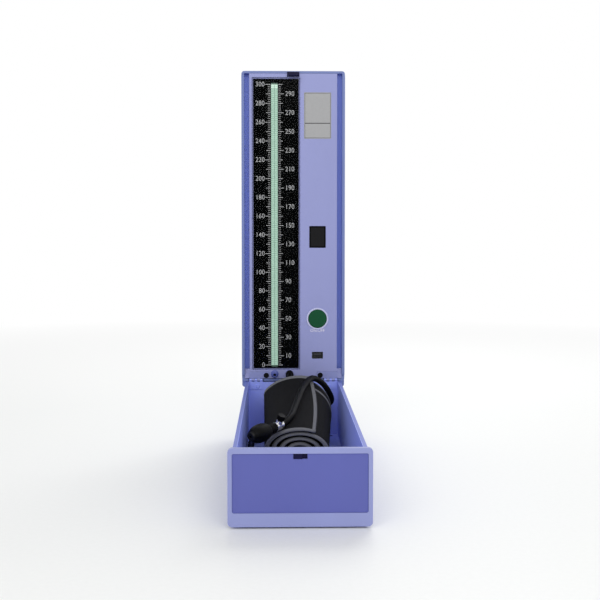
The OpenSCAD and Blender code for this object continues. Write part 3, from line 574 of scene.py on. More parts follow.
class Look:
    """Every finish of the instrument, each under the name of what it covers."""

    PANEL = Moulded("panel plastic", srgb(150, 155, 205), 0.42, gloss=0.05, shine=0.3)
    # Painted light: the side grooves are given a lighter colour that lifts the shade falling in them.
    SHELL = Moulded("lid plastic", srgb(114, 128, 180), 0.44, gloss=0.05, shine=0.3, painted_light=PaintedLightHollow(
        srgb(124, 142, 222), across=(46.2, 52.6), depth=(155.4, 164.5), height=(55.6, 391.4)))
    # Painted light: the tray's inside is given a lighter colour than its outside, lifting the shade that
    # falls in it.
    TRAY = Moulded("tray plastic", srgb(112, 124, 198), 0.46, gloss=0.05, shine=0.25, painted_light=PaintedLightHollow(
        srgb(158, 172, 252), across=(-1.0, 48.3), depth=(-200.0, 155.6), height=(3.9, 200.0)))
    FRONT = Moulded("front plate plastic", srgb(146, 153, 203), 0.42, gloss=0.05, shine=0.3)
    INLAY = Moulded("inlay plastic", srgb(92, 98, 171), 0.38, grain=0.5, gloss=0.05, shine=0.3)
    CATCH = Moulded("catch plastic", srgb(16, 14, 52), 0.34, wear=0.3, gloss=0.03, shine=0.1)
    LEAF = Moulded("hinge leaf paint", srgb(140, 147, 200), 0.36, grain=0.2, wear=0.8)
    BLACK = Moulded("black plastic", srgb(18, 18, 19), 0.42, wear=0.25, gloss=0.05, shine=0.2)
    SCALE = Moulded("scale plate", srgb(3, 4, 4), 0.7, grain=0.2, wear=0.2, gloss=0.0, shine=0.02)
    GLASS = Moulded("display face", srgb(30, 30, 31), 0.25, depth=0.001, wear=0.0, gloss=0.0, shine=0.05)
    BEZEL = Moulded("display frame", srgb(4, 4, 4), 0.5, wear=0.05, gloss=0.0, shine=0.04)
    SOCKET = Moulded("socket plastic", srgb(40, 40, 44), 0.42, wear=0.4)
    BUTTON = Moulded("button plastic", srgb(3, 74, 42), 0.34, grain=0.4, wear=0.2, gloss=0.06, shine=0.15)
    RING = Moulded("button ring", srgb(190, 194, 228), 0.3, wear=0.3, gloss=0.4)
    PORT = Moulded("port plastic", srgb(84, 96, 170), 0.34, wear=0.5)
    CREAM = Moulded("emitter plastic", srgb(225, 226, 216), 0.4)
    CELL = Moulded("cell sleeve", srgb(70, 76, 88), 0.3, gloss=0.4)
    KNOB = Moulded("valve knob plastic", srgb(9, 9, 10), 0.42, wear=0.05, gloss=0.0, shine=0.06)
    HOSE = Rubber("hose rubber", srgb(7, 7, 9), 0.5, bloom=0.03)
    BULB = Rubber("bulb rubber", srgb(5, 5, 6), 0.48, bloom=0.03)
    FOOT = Rubber("foot rubber", srgb(40, 40, 43), 0.62)
    CAP = Rubber("end cap rubber", srgb(7, 7, 8), 0.5, bloom=0.05)
    TUBE = Rubber("sensor tube silicone", srgb(205, 205, 200), 0.4, bloom=0.05)
    CHROME = Metal("chrome plate", srgb(232, 232, 234), 0.24)
    STEEL = Metal("plain steel", srgb(176, 178, 182), 0.32, lines=0.4)
    CLOTH = Woven("cuff nylon", srgb(11, 11, 14), 0.85, fuzz=0.01)
    BINDING = Woven("binding tape", srgb(104, 105, 111), 0.76, thread=0.8, ribbed=True)
    LENS = Clear("scale lens", srgb(16, 17, 18), 0.10)
    LIT = Glowing("lit block", srgb(186, 224, 203), 0.45, power=0.74)
    TOP_LIT = Glowing("first lit block", srgb(214, 246, 226), 0.45, power=0.92)
    CHANNEL = Moulded("light channel", srgb(118, 152, 134), 0.5, wear=0.0)
    INK = Printed("white ink", srgb(234, 235, 236), 0.55)
    CAPTION = Printed("pale ink", srgb(232, 228, 240), 0.5)
    DARK_INK = Printed("dark ink", srgb(44, 44, 46), 0.5)
    PLATE = Printed("rating plate metal", srgb(160, 160, 161), 0.5, metallic=0.3)
    BOARD = Circuit("circuit board", srgb(20, 92, 52), 0.34)


class Shaper:
    """Collects points and faces of one piece and writes its mesh."""

    def __init__(self, name: str) -> None:
        """Starts an empty piece.

        Args:
            name: The piece's name.
        """
        self.name = name
        self.points: list[Vector] = []
        self.faces: list[tuple[int, ...]] = []
        self.weave: list[Vector] = []

    def loft(self, rings: Sequence[Sequence[Vector]], capped: bool = True, joined: bool = False,
             weave: Sequence[Sequence[Vector]] | None = None) -> "Shaper":
        """Skins closed rings of equal length.

        Args:
            rings: The rings in order.
            capped: Whether the first and last ring get a face.
            joined: Whether the last ring meets the first.
            weave: Cloth lengths for each point, where the piece is woven.

        Returns:
            The shaper itself.
        """
        start, count, size = len(self.points), len(rings), len(rings[0])
        for index, ring in enumerate(rings):
            self.points.extend(ring)
            self.weave.extend(weave[index] if weave else [Vector()] * size)
        for row in range(count if joined else count - 1):
            low, high = start + row * size, start + (row + 1) % count * size
            for k in range(size):
                after = (k + 1) % size
                self.faces.append((low + k, low + after, high + after, high + k))
        if capped and not joined:
            self.faces.append(tuple(start + k for k in reversed(range(size))))
            self.faces.append(tuple(start + (count - 1) * size + k for k in range(size)))
        return self

    def block(self, low: Vector, high: Vector) -> "Shaper":
        """Adds one straight block, for marks and segments.

        Args:
            low: Its lowest corner in metres.
            high: Its highest corner.

        Returns:
            The shaper itself.
        """
        corners = [(low.x, low.z), (high.x, low.z), (high.x, high.z), (low.x, high.z)]
        rings = [[Vector((x, y, z)) for x, z in corners] for y in (low.y, high.y)]
        return self.loft(rings)

    def mesh(self) -> bpy.types.Mesh:
        """Writes the mesh with outward faces."""
        mesh = bpy.data.meshes.new(self.name)
        mesh.from_pydata(self.points, [], self.faces)
        if any(w.length_squared > 0 for w in self.weave):
            layer = mesh.attributes.new("weave", "FLOAT_VECTOR", "POINT")
            layer.data.foreach_set("vector", [part for w in self.weave for part in w])
        shape = bmesh.new()
        shape.from_mesh(mesh)
        bmesh.ops.recalc_face_normals(shape, faces=shape.faces)
        shape.to_mesh(mesh)
        shape.free()
        return mesh

    def piece(self, finish: Finish, slot: str, body: Body | None, solid: str = "",
              smooth: bool = True) -> bpy.types.Object:
        """Makes the object; the terms are those of place_mesh."""
        return place_mesh(self.name, self.mesh(), finish, body, solid, smooth)


def place_mesh(name: str, mesh: bpy.types.Mesh, finish: Finish, body: Body | None,
               solid: str = "", smooth: bool = True) -> bpy.types.Object:
    """Links a mesh to the scene as a piece with one finish.

    Args:
        name: The piece's name.
        mesh: Its mesh, in metres.
        finish: The finish of all its faces.
        body: The body that carries it, or None for a piece that runs between two and that no body carries.
        solid: The solid that it stands for, if any.
        smooth: Whether the faces are shaded smooth.

    Returns:
        The new object.
    """
    mesh.materials.clear()
    mesh.materials.append(finish.material())
    for face in mesh.polygons:
        face.use_smooth = smooth
    piece = bpy.data.objects.new(name, mesh)
    bpy.context.scene.collection.objects.link(piece)
    if solid:
        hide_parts(solid)
    if body:
        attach(piece, body.value)
    LOG.info("%s: %d faces", name, len(mesh.polygons))
    return piece


def smooth_route(points: Sequence[Point], steps: int = 6) -> list[Vector]:
    """A smooth line through given points.

    Args:
        points: The points in millimetres.
        steps: New points for each stretch.

    Returns:
        The line's points in metres, with both ends kept.
    """
    known = [Vector(point) * MM for point in points]
    padded = [known[0] * 2 - known[1], *known, known[-1] * 2 - known[-2]]
    line: list[Vector] = []
    for index in range(1, len(padded) - 2):
        before, start, end, after = padded[index - 1:index + 3]
        for step in range(steps):
            t = step / steps
            square = 2 * before - 5 * start + 4 * end - after
            cube = 3 * start - before - 3 * end + after
            line.append(0.5 * (2 * start + (end - before) * t + square * t * t + cube * t ** 3))
    return [*line, known[-1]]


def tube_rings(line: Sequence[Vector], radius: float, sides: int) -> list[list[Vector]]:
    """Rings around a line, carried along it without twist.

    Args:
        line: The centre line in metres.
        radius: The tube's radius in metres.
        sides: Points in each ring.

    Returns:
        One ring for each point of the line.
    """
    rings: list[list[Vector]] = []
    side = Vector((0, 0, 1))
    for index, point in enumerate(line):
        ahead = (line[min(index + 1, len(line) - 1)] - line[max(index - 1, 0)]).normalized()
        if index == 0 and abs(ahead.z) > 0.9:
            side = Vector((1, 0, 0))
        side = (side - ahead * side.dot(ahead)).normalized()
        up = ahead.cross(side)
        rings.append([point + radius * (math.cos(a) * side + math.sin(a) * up)
                      for a in (2 * math.pi * k / sides for k in range(sides))])
    return rings


@dataclass
class Studio:
    """Camera, floor, lamps and the white surroundings."""

    eye: Point = (-17.5, -935.0, 229.0)
    lens: float = 61.1
    sensor: float = 36.0
    down: float = 2.5
    right: float = 1.3
    shift: float = -0.05
    day: float = 0.62
    table_half_m: float = 12.0
    fade_start_m: float = 0.45
    fade_width_m: float = 1.1
    aim_m: Point = (0.0, 0.05, 0.2)
    lamps: tuple[tuple[str, Point, float, float], ...] = (
        ("key lamp", (-0.55, -1.35, 1.05), 0.9, 6.0),
        ("fill lamp", (0.35, -1.35, 0.95), 0.8, 5.0),
        ("back lamp", (0.25, 0.95, 1.1), 0.8, 8.0),
    )

    def build(self) -> None:
        """Sets up the whole studio."""
        scene = bpy.context.scene
        scene.view_settings.view_transform = "Standard"
        self._camera(scene)
        self._world(scene)
        self._floor()
        for name, where, size, watts in self.lamps:
            self._lamp(name, where, size, watts)

    def _camera(self, scene: bpy.types.Scene) -> None:
        """Puts the camera where the picture was taken from.

        Args:
            scene: The scene that gets it.
        """
        data = bpy.data.cameras.new("camera")
        data.lens, data.sensor_width, data.shift_y = self.lens, self.sensor, self.shift
        camera = bpy.data.objects.new("camera", data)
        camera.location = Vector(self.eye) * MM
        camera.rotation_euler = (math.radians(90 - self.down), 0, math.radians(-self.right))
        scene.collection.objects.link(camera)
        scene.camera = camera

    def _world(self, scene: bpy.types.Scene) -> None:
        """Makes the surroundings white to the camera and in reflections, and dimmer as light.

        Args:
            scene: The scene that gets them.
        """
        scene.world = bpy.data.worlds.new("surroundings")
        scene.world.use_nodes = True
        graph = Graph(scene.world.node_tree)
        lit, shown = (graph.add("ShaderNodeBackground", None, {"Color": WHITE, "Strength": strength})
                      for strength in (self.day, 1.0))
        self._join(graph, "World", self._seen(graph), lit, shown)

    @staticmethod
    def _join(graph: Graph, ending: str, share: Val, first: bpy.types.Node,
              second: bpy.types.Node) -> None:
        """Mixes two shaders and ends the tree.

        Args:
            graph: The tree.
            ending: "World" or "Material".
            share: 1 where the second shader shows.
            first: The first shader.
            second: The second shader.
        """
        shaders = {0: share, 1: graph.out(first), 2: graph.out(second)}
        mixed = graph.add("ShaderNodeMixShader", None, shaders)
        graph.add("ShaderNodeOutput" + ending, None, {"Surface": graph.out(mixed)})

    @staticmethod
    def _seen(graph: Graph) -> Val:
        """Tells the rays that look from those that light.

        Args:
            graph: The tree.

        Returns:
            1 for rays that the eye, gloss or clear plastic sends out.
        """
        path = graph.add("ShaderNodeLightPath")
        seen = graph.out(path, "Is Camera Ray") + graph.out(path, "Is Glossy Ray")
        return (seen + graph.out(path, "Is Transmission Ray")).limit()

    def _floor(self) -> None:
        """A pale table that fades into the white surroundings."""
        half = self.table_half_m
        mesh = bpy.data.meshes.new("table")
        mesh.from_pydata([(-half, -half, 0), (half, -half, 0), (half, half, 0), (-half, half, 0)],
                         [], [(0, 1, 2, 3)])
        floor = bpy.data.objects.new("table", mesh)
        bpy.context.scene.collection.objects.link(floor)
        material = bpy.data.materials.new("table")
        material.use_nodes = True
        graph = Graph(material.node_tree)
        colour = graph.blend(graph.noise(260.0, 2.0), srgb(236, 237, 236), srgb(241, 242, 241))
        near = graph.add("ShaderNodeBsdfPrincipled", None, {"Base Color": colour, "Roughness": 0.6})
        far = graph.add("ShaderNodeEmission", None, {"Color": WHITE, "Strength": 1.0})
        place = graph.place()
        fade = ((place.apply("LENGTH", place) - self.fade_start_m) / self.fade_width_m).limit()
        self._join(graph, "Material", fade * self._seen(graph), near, far)
        mesh.materials.append(material)

    def _lamp(self, name: str, where: Point, size: float, watts: float) -> None:
        """Adds a soft square lamp that faces the instrument.

        Args:
            name: The lamp's name.
            where: Its place in metres.
            size: Its side in metres.
            watts: Its power.
        """
        data = bpy.data.lights.new(name, "AREA")
        data.shape, data.size, data.energy = "SQUARE", size, watts
        lamp = bpy.data.objects.new(name, data)
        lamp.location = where
        lamp.rotation_euler = (Vector(self.aim_m) - Vector(where)).to_track_quat("-Z", "Y").to_euler()
        bpy.context.scene.collection.objects.link(lamp)


@dataclass
class Hoses:
    """The two rubber hoses, on the same routes as in the part."""

    diameter: float = 6.0
    sides: int = 20
    coil_centre: Pair = (-12.8, -70.0)
    coil_half: Pair = (31.0, 36.0)
    coil_step: float = 6.6
    coil_rises: tuple[int, ...] = (420, 780, 1140)
    rise_angle: float = 60.0
    floor: float = 7.8

    def bulb_points(self) -> list[Point]:
        """Points from the release valve over the roll and into its far end."""
        return [
            (-13.54, -11.01, 46.92), (-12.68, -9.79, 47.01), (-11.2, -7.5, 47.6), (-9, -4, 48.9),
            (-6.3, 1.4, 50.6), (-3.6, 8.8, 52.7), (-1.1, 23.2, 55.8), (1.4, 38.6, 59.1), (4, 54.7, 62.4),
            (6.7, 70, 65.6), (9.4, 81.4, 67.8), (12, 91, 69.6), (14.8, 99.8, 71.2), (18, 107.4, 71.8),
            (22.4, 113.8, 70.4), (27, 118.8, 67.1), (31.8, 122.8, 62.4), (36, 126.4, 56),
            (39, 130.6, 49.8), (40, 135.6, 44.4), (38.2, 140.2, 40.2), (34.4, 143, 37.6),
            (30, 143.2, 36.2), (25.8, 140.8, 35.6), (22.6, 136.2, 35.5), (21.2, 131, 35.5),
            (20.8, 126.6, 35.5), (20.8, 122.02, 35.5),
        ]

    def gauge_points(self) -> list[Point]:
        """Points from the lid's port, round the coil and into the roll's near end."""
        start = [
            (-4, 144, 69.6), (-4, 141, 69.6), (-4, 134.6, 68.2), (-4, 129, 63.4), (-4, 126.4, 56),
            (-4, 126, 48), (-4, 126, 36), (-4.4, 126, 26), (-7.6, 126, 16.6), (-15, 126, 10),
            (-26, 124.6, 7.8), (-36, 119, 7.8), (-42, 109, 7.8), (-43.8, 96, 7.8), (-43.8, 80, 7.8),
            (-43.8, 64, 7.8), (-43.8, 48, 7.8), (-43.8, 32, 7.8), (-43.8, 16, 7.8), (-43.8, 0, 7.8),
            (-43.8, -16, 7.8), (-43.8, -34, 7.8), (-43.8, -52, 7.8),
        ]
        end = [
            (18.2, -67, 27.6), (18.6, -54, 26), (18.4, -42, 22.4), (17.6, -31, 18.4), (17.4, -24, 17.2),
            (17.4, -18.02, 17),
        ]
        return [*start, *(self._coil_point(angle) for angle in range(180, 1421, 20)), *end]

    def _coil_point(self, angle: int) -> Point:
        """A point of the spare length's coil.

        Args:
            angle: The angle in degrees from the coil's right side.

        Returns:
            The point in millimetres.
        """
        lift = sum(min(1.0, max(0.0, (angle - first) / self.rise_angle)) for first in self.coil_rises)
        turn = math.radians(angle)
        return (self.coil_centre[0] + self.coil_half[0] * math.cos(turn),
                self.coil_centre[1] + self.coil_half[1] * math.sin(turn),
                self.floor + self.coil_step * lift)

    def _hose(self, name: str, points: Sequence[Point], body: Body | None,
              solid: str) -> tuple[bpy.types.Object, list[Vector]]:
        """Makes one hose.

        Args:
            name: The piece's name.
            points: Its given points.
            body: The body that carries it, or None for a hose that runs between two and that no body
                carries.
            solid: The solid that it replaces.

        Returns:
            The hose and its centre line.
        """
        line = smooth_route(points)
        rings = tube_rings(line, self.diameter / 2 * MM, self.sides)
        return Shaper(name).loft(rings).piece(Look.HOSE, "rubber", body, solid), line

    def build(self) -> None:
        hose, line = self._hose("release_hose", self.bulb_points(), Body.BASE, "bulb_hose")
        press_with_lid(hose)
        hose, line = self._hose("gauge_hose_tube", self.gauge_points(), None, "gauge_hose")
        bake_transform(hose)


@dataclass
class Cuff:
    """The rolled cuff: a sewn sleeve wound in a loose spiral, with grey tape on its edges."""

    near_y: float = -18.0
    far_y: float = 122.0
    near: Point = (1.8, 32.6, 20.8)
    far: Point = (5.3, 37.0, 35.1)
    start: Pair = (61.0, 69.0)
    first: Pair = (0.17, 0.09)
    flat: Pair = (1.0, 1.2)
    turns: float = 3.3
    pitch: float = 0.22
    slack: float = 0.035
    floor: float = 4.8
    rim: float = 2.4
    tape: float = 0.4
    bow: float = 6.5
    bow_turns: float = 0.15
    hem: float = 0.9
    plump: float = 0.97
    plump_edge: float = 0.11
    tail: float = 0.55
    tail_turns: float = 0.08
    ripple: float = 0.05
    ripple_waves: Point = (19.0, 11.2, 18.7)
    ripple_start: float = 1.3
    ripple_edge: Pair = (0.05, 0.25)
    outer_part: float = 0.2
    middle_radius: float = 26.0
    rounded: float = 0.2
    stitch: Pair = (1.9, 0.8)
    near_tape: float = 3.2
    far_tape: Pair = (3.4, 5.0)
    far_tape_turns: Pair = (0.50, 0.62)
    flap_tape: Pair = (6.0, 1.2)
    fold: float = 0.8
    fold_power: float = 0.3
    folds: int = 14
    strip_back: float = 24.0
    strip_turns: Pair = (0.985, 0.21)
    strip_steps: int = 24
    strip_edge: tuple[Pair, ...] = ((0.0, -0.4), (0.5, 0.45), (3.9, 0.45), (4.4, -0.4))
    steps: int = 264
    rows: int = 26
    flap_rows: int = 60

    def share(self, along: float) -> float:
        """How far a depth lies along the roll, from 0 at its near end to 1."""
        return (along - self.near_y) / (self.far_y - self.near_y)

    def reach(self, share: float, turns: float) -> float:
        """Share of the half width that the outer face reaches, some turns from the outer end."""
        return 1 - mix(self.first, share) * min(turns, 1.0) - self.pitch * max(turns - 1, 0.0)

    def room(self, share: float, turns: float) -> float:
        """Share of the half width from the outer face to the face that the next turn leaves free."""
        return self.reach(share, turns) - self.reach(share, turns + 1) - self.slack

    def thickness(self, share: float, turns: float) -> float:
        """The room between two turns in millimetres."""
        return self.room(share, turns) * (mix((self.near[1], self.far[1]), share)
                                          + mix((self.near[2], self.far[2]), share)) / 2

    def point(self, along: float, turns: float, inset: float) -> Vector:
        """A point of the sleeve.

        Args:
            along: Depth in millimetres from the near end of the roll's box to its far end.
            turns: Turns from the outer end.
            inset: Share of the room that the point lies inside the outer face.

        Returns:
            The point in metres.
        """
        share = self.share(along)
        middle, wide, high = (mix(pair, share) for pair in zip(self.near, self.far))
        start = mix(self.start, share)
        bottom = self.reach(share, (270 - start) / 360)
        bowed = self.bow * math.sin(math.pi * min(max(share, 0.0), 1.0))
        bowed *= max(0.0, 1 - turns / self.bow_turns)
        turn = math.radians(start - bowed) + 2 * math.pi * turns
        across = math.cos(turn)
        if across < 0:
            across = max(-1.0, across * mix(self.flat, share))
        reach = self.reach(share, turns) - inset * self.room(share, turns)
        return Vector((middle + wide * reach * across, along,
                       self.floor + high * (bottom + reach * math.sin(turn)))) * MM

    def faces(self, along: float, turns: float, grow: float = 0.0) -> tuple[float, float]:
        """Insets of the sleeve's outer and inner face.

        Args:
            along: Depth in millimetres.
            turns: Turns from the outer end.
            grow: Millimetres that both faces stand out, for tape.

        Returns:
            The outer and the inner inset.
        """
        share = self.share(along)
        thick = self.thickness(share, turns)
        edge = min(share, 1 - share)
        rim = min(1.0, self.rim / thick)
        plump = rim + (self.plump - rim) * ramp(0.0, self.plump_edge, edge)
        plump *= mix((self.tail, 1.0), ramp(0, self.tail_turns, min(turns, self.turns - turns)))
        lengthwise, slanted, round_about = self.ripple_waves
        ripple = math.sin(share * lengthwise + turns * slanted)
        ripple *= math.sin(turns * round_about + self.ripple_start)
        spare = 1 - plump - self.ripple * ripple * ramp(*self.ripple_edge, edge)
        return self.outer_part * spare - grow / thick, 1 - (1 - self.outer_part) * spare + grow / thick

    def depths(self, count: int) -> list[float]:
        """Even depths from the near hem to the far end, with both ends."""
        first = self.near_y + self.hem
        return [first + (self.far_y - self.near_y - self.hem) * k / count for k in range(count + 1)]

    @staticmethod
    def _sew(name: str, rows: Iterable[Sequence[tuple[Vector, Point]]], finish: Finish,
             solid: str = "") -> bpy.types.Object:
        """Makes a woven piece.

        Args:
            name: The piece's name.
            rows: Its rings: points in metres, each with its cloth lengths in millimetres.
            finish: The cloth.
            solid: The solid that it replaces, if any.

        Returns:
            The piece.
        """
        rows = list(rows)
        cloth = [[Vector(lengths) * MM for _, lengths in row] for row in rows]
        shaper = Shaper(name).loft([[point for point, _ in row] for row in rows], weave=cloth)
        return shaper.piece(finish, "fabric", Body.BASE, solid)

    def _sleeve(self) -> bpy.types.Object:
        """The sleeve itself, with its two long edges rounded."""
        depths, rows = self.depths(self.rows), []
        for step in range(self.steps + 1):
            turns = self.turns * step / self.steps
            row = []
            for side, along in [*((0, y) for y in depths), *((1, y) for y in reversed(depths))]:
                faces = self.faces(along, turns)
                inset = faces[side]
                if along in (depths[0], depths[-1]):
                    inset = mix((inset, faces[1 - side]), self.rounded)
                length = 2 * math.pi * self.middle_radius * turns
                row.append((self.point(along, turns, inset), (length, along, 0)))
            rows.append(row)
        return self._sew("cuff_sleeve", rows, Look.CLOTH, "cuff_roll")

    def _wrap(self, name: str, path: Iterable[float],
              place: Callable[[float, float, float], Pair]) -> bpy.types.Object:
        """Tape folded over an edge.

        Args:
            name: The piece's name.
            path: Where the tape has a ring, as the place function reads it.
            place: Gives a point's depth and turns, from its distance inward (1 to 0) and its sine.

        Returns:
            The tape.
        """
        rows = []
        for number, spot in enumerate(path):
            row = []
            for k in range(self.folds):
                turn = math.pi * k / (self.folds - 1)
                cosine = math.cos(turn)
                along, turns = place(spot, abs(cosine), math.sin(turn))
                covered = min(max(along, self.near_y + self.hem), self.far_y)
                outer, inner = self.faces(covered, max(turns, 0.0), self.tape)
                half = math.copysign(abs(cosine) ** self.fold_power, cosine) * (inner - outer) / 2
                lengths = (number * self.stitch[0], k * self.stitch[1], 0)
                row.append((self.point(along, turns, (inner + outer) / 2 - half), lengths))
            rows.append(row)
        return self._sew(name, rows, Look.BINDING)

    def _tapes(self) -> list[bpy.types.Object]:
        """Tape on the near edge, the far edge and the outer end."""
        spiral = [self.turns * step / self.steps for step in range(self.steps + 1)]

        def near(turns: float, inward: float, out: float) -> Pair:
            """A point of the near tape."""
            return self.near_y + self.hem + self.near_tape * inward - self.fold * out, turns

        def far(turns: float, inward: float, out: float) -> Pair:
            """A point of the far tape, which is wider over the first half turn."""
            width = self.far_tape[0] + self.far_tape[1] * (1 - ramp(*self.far_tape_turns, turns))
            return self.far_y - width * inward + self.fold * out, turns

        def flap(along: float, inward: float, out: float) -> Pair:
            """A point of the outer end's tape."""
            return along, (self.flap_tape[0] * inward - self.flap_tape[1] * out) / 360

        return [self._wrap("cuff_near_binding", spiral, near),
                self._wrap("cuff_far_binding", spiral, far),
                self._wrap("cuff_end_binding", self.depths(self.flap_rows), flap)]

    def _strip(self) -> bpy.types.Object:
        """The sewn strip that shows across the second turn beside the flap."""
        rows = []
        for step in range(self.strip_steps + 1):
            turns = self.strip_turns[0] - self.strip_turns[1] * step / self.strip_steps
            row = []
            for offset, height in self.strip_edge:
                along = self.far_y - self.strip_back + offset
                inset = self.faces(along, turns)[0] - height / self.thickness(self.share(along), turns)
                row.append((self.point(along, turns, inset), (step * self.stitch[0], offset, 0)))
            rows.append(row)
        return self._sew("cuff_cross_strip", rows, Look.BINDING)

    def build(self) -> None:
        """Sews the cuff and gives each of its pieces its own mesh."""
        sleeve = self._sleeve()
        for piece in [sleeve, *self._tapes(), self._strip()]:
            press_with_lid(piece)


@dataclass
class Bulb:
    """The rubber bulb with its parting line, ribbed neck and cut-off end."""

    centre: Point = (-32.5, -38.1, 44.9)
    yaw: float = 35.0
    tilt: float = 3.5
    radius: float = 8.25
    body: float = 28.0
    neck: float = 8.0
    cut: float = 1.0
    neck_radius: float = 4.7
    bore: float = 2.7
    neck_shrink: float = 0.10
    neck_taper: float = 2.0
    egg: float = 0.02
    fullness: float = 2.4
    rib: float = 0.35
    rib_pitch: float = 1.1
    rib_start: float = -1.2
    seam: float = 0.22
    seam_half: float = 0.45
    sides: int = 96
    rows: int = 120

    def frame(self) -> Matrix:
        """The bulb's own frame in metres, with Z towards the valve."""
        turn = Matrix.Rotation(math.radians(-self.yaw), 4, "Z")
        lean = Matrix.Rotation(math.radians(self.tilt - 90), 4, "X")
        return Matrix.Translation(Vector(self.centre) * MM) @ turn @ lean

    def reach(self, along: float) -> float:
        """The bulb's outer radius.

        Args:
            along: The distance from the middle in millimetres, towards the valve.

        Returns:
            The radius in millimetres.
        """
        half = self.body / 2
        past = abs(along) - half
        share = min(1.0, abs(along) / half)
        belly = self.radius * (1 + self.egg * along / half) * (1 - share ** self.fullness) ** 0.5
        shrunk = 1 - self.neck_shrink * (1 - math.exp(-(past / self.neck_taper) ** 2))
        neck = self.neck_radius * shrunk
        if past > self.rib_start:
            neck += self.rib * max(0.0, math.sin(past * math.pi / self.rib_pitch)) ** 2
        return max(belly, neck)

    def build(self) -> None:
        """Moulds the bulb around its bore."""
        low, high = -self.body / 2 + self.cut, self.body / 2 + self.neck
        depths = [low + (high - low) * row / self.rows for row in range(self.rows + 1)]
        rings = [self._ring(along, self.reach(along), self.seam) for along in depths]
        rings += [self._ring(along, self.bore, 0.0) for along in (high, low)]
        Shaper("pump_bulb").loft(rings, joined=True).piece(Look.BULB, "rubber", Body.BASE, "rubber_bulb")

    def _ring(self, along: float, reach: float, seam: float) -> list[Vector]:
        """One ring of the bulb, with the parting line on two sides.

        Args:
            along: The distance from the middle in millimetres.
            reach: The ring's radius.
            seam: How far the parting line stands out.

        Returns:
            The ring's points in metres.
        """
        place, ring = self.frame(), []
        for k in range(self.sides):
            turn = 2 * math.pi * k / self.sides
            line = seam * math.exp(-(math.sin(turn) * reach / self.seam_half) ** 2)
            out = (reach + line) * MM
            ring.append(place @ Vector((out * math.cos(turn), out * math.sin(turn), along * MM)))
        return ring


class Align(Enum):
    """Which end of a word stands at its place."""

    LEFT = "LEFT"
    RIGHT = "RIGHT"
    CENTRE = "CENTER"


@dataclass(frozen=True)
class Word:
    """A word or number on the lid: its text, place and height in millimetres."""

    text: str
    x: float
    height: float
    size: float
    align: Align


def lettering(name: str, words: Iterable[Word], depth: float, finish: Finish) -> bpy.types.Object:
    """Prints words on the open lid as one thin mesh.

    Args:
        name: The piece's name.
        words: The words with their places.
        depth: Depth of the print's face in the lid, in millimetres.
        finish: The ink.

    Returns:
        The printed piece.
    """
    shape = bmesh.new()
    upright = Matrix.Rotation(math.radians(90), 4, "X") @ Matrix.Diagonal((LETTER_WIDTH, 1, 1, 1))
    for word in words:
        curve = bpy.data.curves.new("word", "FONT")
        curve.body, curve.align_x, curve.align_y = word.text, word.align.value, "CENTER"
        curve.size, curve.extrude, curve.resolution_u = word.size * FONT_HEIGHT * MM, INK_DEPTH * MM, 3
        curve.space_character = LETTER_SPACING
        letter = bpy.data.objects.new("word", curve)
        bpy.context.scene.collection.objects.link(letter)
        bpy.context.view_layer.update()
        shown = letter.evaluated_get(bpy.context.evaluated_depsgraph_get())
        mesh = bpy.data.meshes.new_from_object(shown)
        mesh.transform(Matrix.Translation(on_lid(word.x, depth, word.height)) @ upright)
        shape.from_mesh(mesh)
        bpy.data.objects.remove(letter)
        bpy.data.curves.remove(curve)
        bpy.data.meshes.remove(mesh)
    joined = bpy.data.meshes.new(name)
    shape.to_mesh(joined)
    shape.free()
    return place_mesh(name, joined, finish, Body.LID, smooth=False)


def rounded_outline(left: float, right: float, low: float, high: float, radius: float,
                    steps: int = 6) -> list[Pair]:
    """The outline of a rectangle with round corners.

    Args:
        left: Its left side.
        right: Its right side.
        low: Its low side.
        high: Its high side.
        radius: The corners' radius.
        steps: Stretches in each corner.

    Returns:
        The outline's points, anticlockwise.
    """
    corners = ((right - radius, high - radius, 0), (left + radius, high - radius, 90),
               (left + radius, low + radius, 180), (right - radius, low + radius, 270))
    return [(x + radius * math.cos(math.radians(turn + 90 * k / steps)),
             z + radius * math.sin(math.radians(turn + 90 * k / steps)))
            for x, z, turn in corners for k in range(steps + 1)]


def slab(name: str, bounds: tuple[float, float, float, float], steps: Iterable[Point],
         finish: Finish, solid: str) -> None:
    """Makes a clear plate in the lid, with rounded corners and a bevelled front.

    Args:
        name: The piece's name.
        bounds: Its left, right, low and high side.
        steps: Depth, inset and corner radius of each outline, from the back to the front.
        finish: Its finish.
        solid: The solid that it replaces.
    """
    left, right, low, high = bounds
    rings = []
    for depth, inset, radius in steps:
        outline = rounded_outline(left + inset, right - inset, low + inset, high - inset, radius)
        rings.append([on_lid(x, depth, z) for x, z in outline])
    Shaper(name).loft(rings).piece(finish, "clear", Body.LID, solid, smooth=False)


